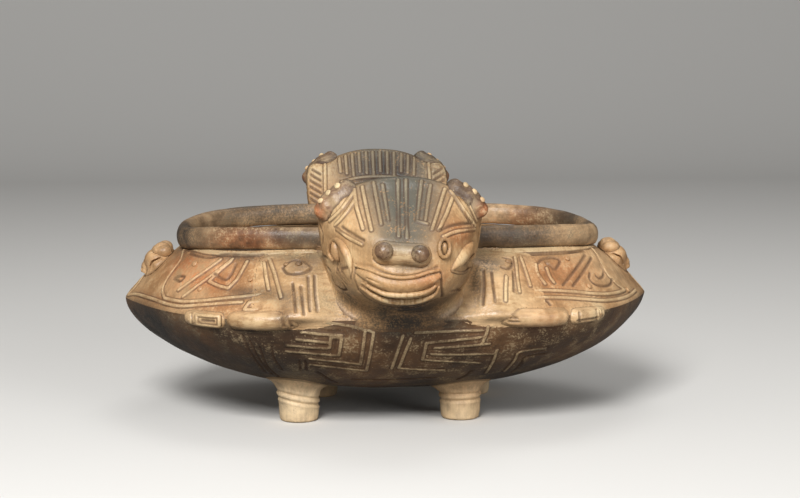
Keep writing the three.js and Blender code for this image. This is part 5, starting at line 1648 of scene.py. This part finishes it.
def make_rim():
    """The thick coil along the neck."""
    sizes = bpy.context.scene.effigy_bowl_sizes
    angle = around(560, 0.3)
    middle = np.stack([rim_radius(angle) - RIM_THICKNESS / 2, rim_height(angle) - RIM_COIL_HEIGHT / 2], 1)
    path = place(angle, middle[:, None])[:, 0]
    base = bpy.data.meshes.new("rim_plan")
    base.from_pydata((path * MM).tolist(), [(i, (i + 1) % len(path)) for i in range(len(path))], [])
    mesh = run_tree(base, rim_tree(), {
        "Width": sizes.rim_width, "Height": sizes.rim_height, "Roundness": RIM_SOFTNESS,
        "Pinch length": PINCH_LENGTH, "Pinch depth": PINCH_DEPTH, "Sides": RIM_SIDES,
        "Clay": clay_of("rim")[1]})
    finish("rim_coil_clay", mesh, "rim", ["rim_coil"])


def pellets(name, places, toward, size, smallest, part, nodes):
    """Pellets on places of the front and, turned by half a turn, of the back."""
    toward = toward / np.linalg.norm(toward, axis=1, keepdims=True)
    places, toward = (np.concatenate([values, half_turn(values)]) for values in (places, toward))
    base = bpy.data.meshes.new(name + "_places")
    base.vertices.add(len(places))
    base.vertices.foreach_set("co", (places * MM).astype(np.float32).ravel())
    base.attributes.new("toward", "FLOAT_VECTOR", "POINT").data.foreach_set(
        "vector", toward.astype(np.float32).ravel())
    radius = bpy.context.scene.effigy_bowl_sizes.pellet_radius * size
    tree = bpy.data.node_groups.get("pressed_pellets") or pellet_tree()
    mesh = run_tree(base, tree, {
        "Radius": radius, "Thickness": radius * 0.55, "Smallest": smallest, "Clay": clay_of(part)[1]})
    finish(name, mesh, part, nodes)


def make_ear_pellets():
    """Three pale pellets on each ear roll, on its upper and forward side."""
    places, toward = [], []
    for side in (-1, 1):
        up = np.array([side * EAR_OUT[0] * 0.75, -0.6 * 19.5, EAR_OUT[1] * 0.75])
        up /= np.linalg.norm(up)
        for spot in ear_places(side, (0.2, 0.5, 0.8)):
            places.append(np.array(spot) + up * EAR_THICKNESS * 0.66)
            toward.append(up)
    nodes = [f"{end}_ear_pellet_{hand}_{i}" for end in ("front", "rear") for hand in ("left", "right")
             for i in (1, 2, 3)]
    pellets("ear_pellets_clay", np.array(places), np.array(toward), 0.82, 0.86, "pellet", nodes)


def make_shoulder_pellets():
    """Small pellets on the panels of the shoulder, which the frame's solids don't have."""
    places = on_front(armed_bowl, np.array(SHOULDER_PELLETS))
    steps = np.eye(3) * 0.8
    toward = np.stack([armed_bowl(*(places + step).T) - armed_bowl(*(places - step).T) for step in steps], 1)
    pellets("shoulder_pellets_clay", places, toward, 0.9, 0.7, "shoulder", [])


# Stage

# Lamps: the setting of each one's power, its place and its width in metres
LAMPS = (
    ("key_power", (-0.38, -1.3, 0.98), 0.5),
    ("fill_power", (1.1, -1.4, 0.6), 0.9),
    ("top_power", (0.15, 0.35, 1.4), 0.7),
)
LAMP_TARGET = (0, 0, 0.08)


def aim(thing, place, target):
    """Puts a lamp or a camera at a place and turns it to a target."""
    thing.location = place
    thing.rotation_euler = (Vector(target) - Vector(place)).to_track_quat("-Z", "Y").to_euler()


def make_stage():
    """A pale sheet of paper swept up behind the bowl, three soft lamps and the camera of the photograph."""
    scene = bpy.context.scene
    studio = scene.effigy_bowl_studio
    half_width, rear, rise, bend = 4.0, 2.4, 3.0, 0.9
    turns = np.linspace(0, math.pi / 2, 17)
    profile = [(-3.0, 0.0)] + [(rear - bend + bend * math.sin(t), bend - bend * math.cos(t)) for t in turns]
    profile.append((rear, rise))
    mesh = bpy.data.meshes.new("paper_sweep")
    mesh.from_pydata([(x, y, z) for y, z in profile for x in (-half_width, half_width)], [],
                     [(2 * i, 2 * i + 1, 2 * i + 3, 2 * i + 2) for i in range(len(profile) - 1)])
    mesh.shade_smooth()
    paper = bpy.data.materials.new("matt_background_paper")
    paper.use_nodes = True
    tree = paper.node_tree
    tree.nodes.clear()
    rays = add(tree, "ShaderNodeLightPath").node.outputs
    tone = add(tree, MIX, {"data_type": "RGBA"}, {
        0: rays["Is Camera Ray"], 6: tuple(studio.paper_bounce) + (1,), 7: tuple(studio.paper) + (1,)}, 2)
    matt = add(tree, "ShaderNodeBsdfDiffuse", None, {"Color": tone})
    add(tree, "ShaderNodeOutputMaterial", None, {"Surface": matt})
    mesh.materials.append(paper)
    sweep = bpy.data.objects.new("paper_sweep", mesh)
    scene.collection.objects.link(sweep)

    # Even light all round, and plain white where the camera or a transmission ray sees past the paper
    world = bpy.data.worlds.new("studio")
    world.use_nodes = True
    tree = world.node_tree
    tree.nodes.clear()
    rays = add(tree, "ShaderNodeLightPath").node.outputs
    seen = add(tree, MATH, {"operation": "MAXIMUM"}, {
        0: rays["Is Camera Ray"], 1: rays["Is Transmission Ray"]})
    soft = add(tree, "ShaderNodeBackground", None, {"Color": (1, 1, 1, 1), "Strength": studio.world_level})
    white = add(tree, "ShaderNodeBackground", None, {"Color": (1, 1, 1, 1), "Strength": 0.9})
    either = add(tree, "ShaderNodeMixShader", None, {0: seen, 1: soft, 2: white})
    add(tree, "ShaderNodeOutputWorld", None, {"Surface": either})
    scene.world = world
    scene.view_settings.view_transform = "Standard"

    for power, place_of_lamp, width in LAMPS:
        data = bpy.data.lights.new(power.replace("power", "lamp"), "AREA")
        data.size = width
        data.energy = getattr(studio, power)
        light = bpy.data.objects.new(data.name, data)
        scene.collection.objects.link(light)
        aim(light, place_of_lamp, LAMP_TARGET)

    turn, pitch = math.radians(CAMERA_TURN), math.radians(CAMERA_PITCH)
    ahead = Vector((math.sin(turn), math.cos(turn), 0))
    right = Vector((math.cos(turn), -math.sin(turn), 0))
    data = bpy.data.cameras.new("camera")
    data.sensor_width = CAMERA_SENSOR
    data.lens = CAMERA_LENS
    data.clip_start = 0.05
    camera = bpy.data.objects.new("camera", data)
    scene.collection.objects.link(camera)
    place_of = ahead * -CAMERA_AWAY + right * CAMERA_ASIDE + Vector((0, 0, CAMERA_HEIGHT))
    aim(camera, place_of, place_of + ahead * math.cos(pitch) - Vector((0, 0, math.sin(pitch))))
    scene.camera = camera


# Add-on

def colour_property(label, hex_colour, about):
    """A colour that the user can change, given as an sRGB hex value."""
    return FloatVectorProperty(name=label, description=about, subtype="COLOR", min=0, max=1, size=3,
                               default=linear(hex_colour))


class EffigyBowlColours(bpy.types.PropertyGroup):
    """Colours of the clays and of what lies on them"""
    # The belly colours are darkened to paint the shade that falls under the keel
    belly: colour_property("Belly", "#745233", "Clay under the keel")
    belly_dark: colour_property("Belly, dark", "#493320", "Deeper tone of the clay under the keel")
    tan: colour_property("Tan", "#cda578", "Lighter clay of the shoulder and side heads")
    brown: colour_property("Brown", "#b48759", "Deeper tone of the shoulder and side heads")
    # The foot colours are lightened to paint the light that falls on the feet
    foot: colour_property("Foot", "#ecd0a8", "Rubbed clay of the feet")
    foot_dark: colour_property("Foot, dark", "#dab488", "Deeper tone of the feet")
    limb: colour_property("Limb", "#deb88a", "Clay of the arms")
    limb_dark: colour_property("Limb, dark", "#c39a6c", "Deeper tone of the arms")
    rim: colour_property("Rim", "#bf9c74", "Clay of the rim")
    rim_dark: colour_property("Rim, dark", "#6e543c", "Deeper tone of the rim")
    head: colour_property("Head", "#cda474", "Clay of the heads")
    head_dark: colour_property("Head, dark", "#b88c5c", "Deeper tone of the heads")
    ear: colour_property("Ear", "#8a6a50", "Clay of the ear rolls")
    ear_dark: colour_property("Ear, dark", "#4c3a30", "Deeper tone of the ear rolls")
    nose: colour_property("Nose", "#9a6e4c", "Clay of the nostrils")
    nose_dark: colour_property("Nose, dark", "#6e4c36", "Deeper tone of the nostrils")
    red_slip: colour_property("Red slip", "#b0622f", "Reddish slip left on the panels")
    # Cream also paints light on the raised lines and in the pale patches
    cream: colour_property("Cream", "#dcc296", "Rubbed ridges and pale pellets")
    pigment: colour_property("Pigment", "#50524a", "Dark pigment rubbed into the forehead")
    # Soot also paints shade where the dark patches are painted shade
    soot_and_painted_shade: colour_property("Soot", "#2c2824", "Smoke clouds of the firing")
    # Soil also paints shade in the cuts, beside the ridges and in the joints
    soil_and_painted_shade: colour_property("Soil", "#4a3322", "Soot and soil in the cuts")


def size_property(label, about, size, low, high):
    """A size in metres that the user can change."""
    return FloatProperty(name=label, description=about, default=size, min=low, max=high, precision=5,
                         unit="LENGTH")


class EffigyBowlSizes(bpy.types.PropertyGroup):
    """Sizes of the finish"""
    line_depth: size_property("Line depth", "Depth of the incised lines", 0.00085, 0, 0.002)
    rim_width: size_property(
        "Rim width", "Width of the rim coil", RIM_THICKNESS * MM, 0.004, RIM_THICKNESS * MM)
    rim_height: size_property(
        "Rim height", "Height of the rim coil", RIM_COIL_HEIGHT * MM, 0.006, RIM_COIL_HEIGHT * MM)
    pellet_radius: size_property("Pellet radius", "Radius of the pressed pellets", 0.0023, 0.001, 0.0024)


def power_property(label, about, power):
    """The power of a lamp in watts."""
    return FloatProperty(name=label, description=about, default=power, unit="POWER")


class EffigyBowlStudio(bpy.types.PropertyGroup):
    """Light and background"""
    key_power: power_property("Key lamp", "Power of the main lamp", 30)
    fill_power: power_property("Fill lamp", "Power of the fill lamp", 10)
    top_power: power_property("Top lamp", "Power of the top lamp", 3)
    world_level: FloatProperty(name="Even light", description="Strength of the light all round", default=0.25)
    paper: colour_property("Paper", "#dedcd8", "Colour of the paper sweep")
    paper_bounce: colour_property("Paper bounce", "#8c8a86", "Colour of the light that the paper throws back")


# Finish of each part: slot, kind of earthenware, lighter and deeper clay, roughness, how strongly the smoke
# and painted shade darken it, the size of the burnishing strokes in millimetres along X, Y and Z, and for the
# rim its own stroke depth and mottling. The belly clay is darkened to paint the shade under the keel, and the
# foot clay is lightened to paint the light on the feet.
CLAYS = {
    "belly": ("belly_clay", "burnished_belly", "belly", "belly_dark", 0.5, 1, (26, 26, 1.5)),
    "shoulder": ("shoulder_clay", "slipped_shoulder", "tan", "brown", 0.44, 1, (1.4, 1.4, 18)),
    "rim": ("rim_clay", "burnished_rim", "rim", "rim_dark", 0.42, 0.9, (30, 30, 1.4), 0.1, 0.85),
    "foot": ("foot_clay", "rubbed_foot", "foot", "foot_dark", 0.5, 0.1, (1.4, 1.4, 12)),
    "head": ("head_clay", "burnished_head", "head", "head_dark", 0.42, 0.9, (1.3, 1.3, 20)),
    "nose_bar": ("nose_clay", "burnished_nose_bar", "tan", "brown", 0.36, 0.1, (9, 1.3, 1.3)),
    "nose": ("nose_clay", "glossy_nostril", "nose", "nose_dark", 0.2, 0.1, (2, 2, 2)),
    "ear": ("dark_roll_clay", "smoked_ear", "ear", "ear_dark", 0.4, 0.6, (6, 1.2, 6)),
    "pellet": ("pellet_clay", "pale_pellet", "cream", "tan", 0.5, 0, (2, 2, 2)),
    "limb": ("limb_clay", "burnished_limb", "limb", "limb_dark", 0.34, 0.8, (14, 2, 1.6)),
    "side_head": ("side_head_clay", "burnished_side_head", "tan", "brown", 0.46, 0.8, (1.6, 1.6, 6)),
}


def clay_of(part):
    """The slot and the material of a part, which is made when first asked for."""
    slot, kind, *look = CLAYS[part]
    name = "earthenware_" + kind
    return slot, bpy.data.materials.get(name) or burnished_earthenware(name, *look)


class EFFIGYBOWL_OT_walls(bpy.types.Operator):
    """Belly and shoulder walls with their incised panels"""
    bl_idname = "effigy_bowl.walls"
    bl_label = "Walls"

    def execute(self, context):
        make_belly()
        make_shoulder()
        return {"FINISHED"}


class EFFIGYBOWL_OT_rim(bpy.types.Operator):
    """Coil of the rim"""
    bl_idname = "effigy_bowl.rim"
    bl_label = "Rim"

    def execute(self, context):
        make_rim()
        return {"FINISHED"}


class EFFIGYBOWL_OT_feet(bpy.types.Operator):
    """Four conical feet"""
    bl_idname = "effigy_bowl.feet"
    bl_label = "Feet"

    def execute(self, context):
        make_feet()
        return {"FINISHED"}


class EFFIGYBOWL_OT_heads(bpy.types.Operator):
    """Heads at front and back"""
    bl_idname = "effigy_bowl.heads"
    bl_label = "Heads"

    def execute(self, context):
        make_heads()
        return {"FINISHED"}


class EFFIGYBOWL_OT_noses(bpy.types.Operator):
    """Nose bars and nostrils"""
    bl_idname = "effigy_bowl.noses"
    bl_label = "Noses"

    def execute(self, context):
        make_noses()
        return {"FINISHED"}


class EFFIGYBOWL_OT_eyes(bpy.types.Operator):
    """Eyes of the heads"""
    bl_idname = "effigy_bowl.eyes"
    bl_label = "Eyes"

    def execute(self, context):
        make_eyes()
        return {"FINISHED"}


class EFFIGYBOWL_OT_mouths(bpy.types.Operator):
    """Upper and lower lips"""
    bl_idname = "effigy_bowl.mouths"
    bl_label = "Mouths"

    def execute(self, context):
        make_mouths()
        return {"FINISHED"}


class EFFIGYBOWL_OT_ears(bpy.types.Operator):
    """Ear rolls and the pellets on them"""
    bl_idname = "effigy_bowl.ears"
    bl_label = "Ears"

    def execute(self, context):
        make_ears()
        make_ear_pellets()
        return {"FINISHED"}


class EFFIGYBOWL_OT_limbs(bpy.types.Operator):
    """Upper arms, forearms and paws"""
    bl_idname = "effigy_bowl.limbs"
    bl_label = "Limbs"

    def execute(self, context):
        make_limbs()
        return {"FINISHED"}


class EFFIGYBOWL_OT_side_heads(bpy.types.Operator):
    """Small crested heads over the two drawn-out ends"""
    bl_idname = "effigy_bowl.side_heads"
    bl_label = "Side heads"

    def execute(self, context):
        make_side_heads()
        return {"FINISHED"}


class EFFIGYBOWL_OT_shoulder_pellets(bpy.types.Operator):
    """Pellets pressed onto the shoulder"""
    bl_idname = "effigy_bowl.shoulder_pellets"
    bl_label = "Shoulder pellets"

    def execute(self, context):
        make_shoulder_pellets()
        return {"FINISHED"}


class EFFIGYBOWL_OT_stage(bpy.types.Operator):
    """Background, lamps and camera"""
    bl_idname = "effigy_bowl.stage"
    bl_label = "Stage"

    def execute(self, context):
        make_stage()
        return {"FINISHED"}


STEPS = (
    EFFIGYBOWL_OT_walls, EFFIGYBOWL_OT_rim, EFFIGYBOWL_OT_feet, EFFIGYBOWL_OT_heads, EFFIGYBOWL_OT_noses,
    EFFIGYBOWL_OT_eyes, EFFIGYBOWL_OT_mouths, EFFIGYBOWL_OT_ears, EFFIGYBOWL_OT_limbs,
    EFFIGYBOWL_OT_side_heads, EFFIGYBOWL_OT_shoulder_pellets, EFFIGYBOWL_OT_stage,
)


class EFFIGYBOWL_PT_panel(bpy.types.Panel):
    """Settings and steps of the effigy bowl"""
    bl_label = "Effigy bowl"
    bl_idname = "EFFIGYBOWL_PT_panel"
    bl_space_type = "VIEW_3D"
    bl_region_type = "UI"
    bl_category = "Effigy bowl"

    def draw(self, context):
        scene = context.scene
        for group in (scene.effigy_bowl_sizes, scene.effigy_bowl_colours, scene.effigy_bowl_studio):
            box = self.layout.box()
            for key in group.__annotations__:
                box.prop(group, key)
        for step in STEPS:
            self.layout.operator(step.bl_idname)


CLASSES = (EffigyBowlColours, EffigyBowlSizes, EffigyBowlStudio) + STEPS + (EFFIGYBOWL_PT_panel,)


def register():
    for cls in CLASSES:
        bpy.utils.register_class(cls)
    bpy.types.Scene.effigy_bowl_colours = PointerProperty(type=EffigyBowlColours)
    bpy.types.Scene.effigy_bowl_sizes = PointerProperty(type=EffigyBowlSizes)
    bpy.types.Scene.effigy_bowl_studio = PointerProperty(type=EffigyBowlStudio)


def unregister():
    del bpy.types.Scene.effigy_bowl_colours
    del bpy.types.Scene.effigy_bowl_sizes
    del bpy.types.Scene.effigy_bowl_studio
    for cls in reversed(CLASSES):
        bpy.utils.unregister_class(cls)


def main():
    register()
    bpy.ops.effigy_bowl.walls()
    bpy.ops.effigy_bowl.rim()
    bpy.ops.effigy_bowl.feet()
    bpy.ops.effigy_bowl.heads()
    bpy.ops.effigy_bowl.noses()
    bpy.ops.effigy_bowl.eyes()
    bpy.ops.effigy_bowl.mouths()
    bpy.ops.effigy_bowl.ears()
    bpy.ops.effigy_bowl.limbs()
    bpy.ops.effigy_bowl.side_heads()
    bpy.ops.effigy_bowl.shoulder_pellets()
    bpy.ops.effigy_bowl.stage()


if __name__ == "__main__":
    main()
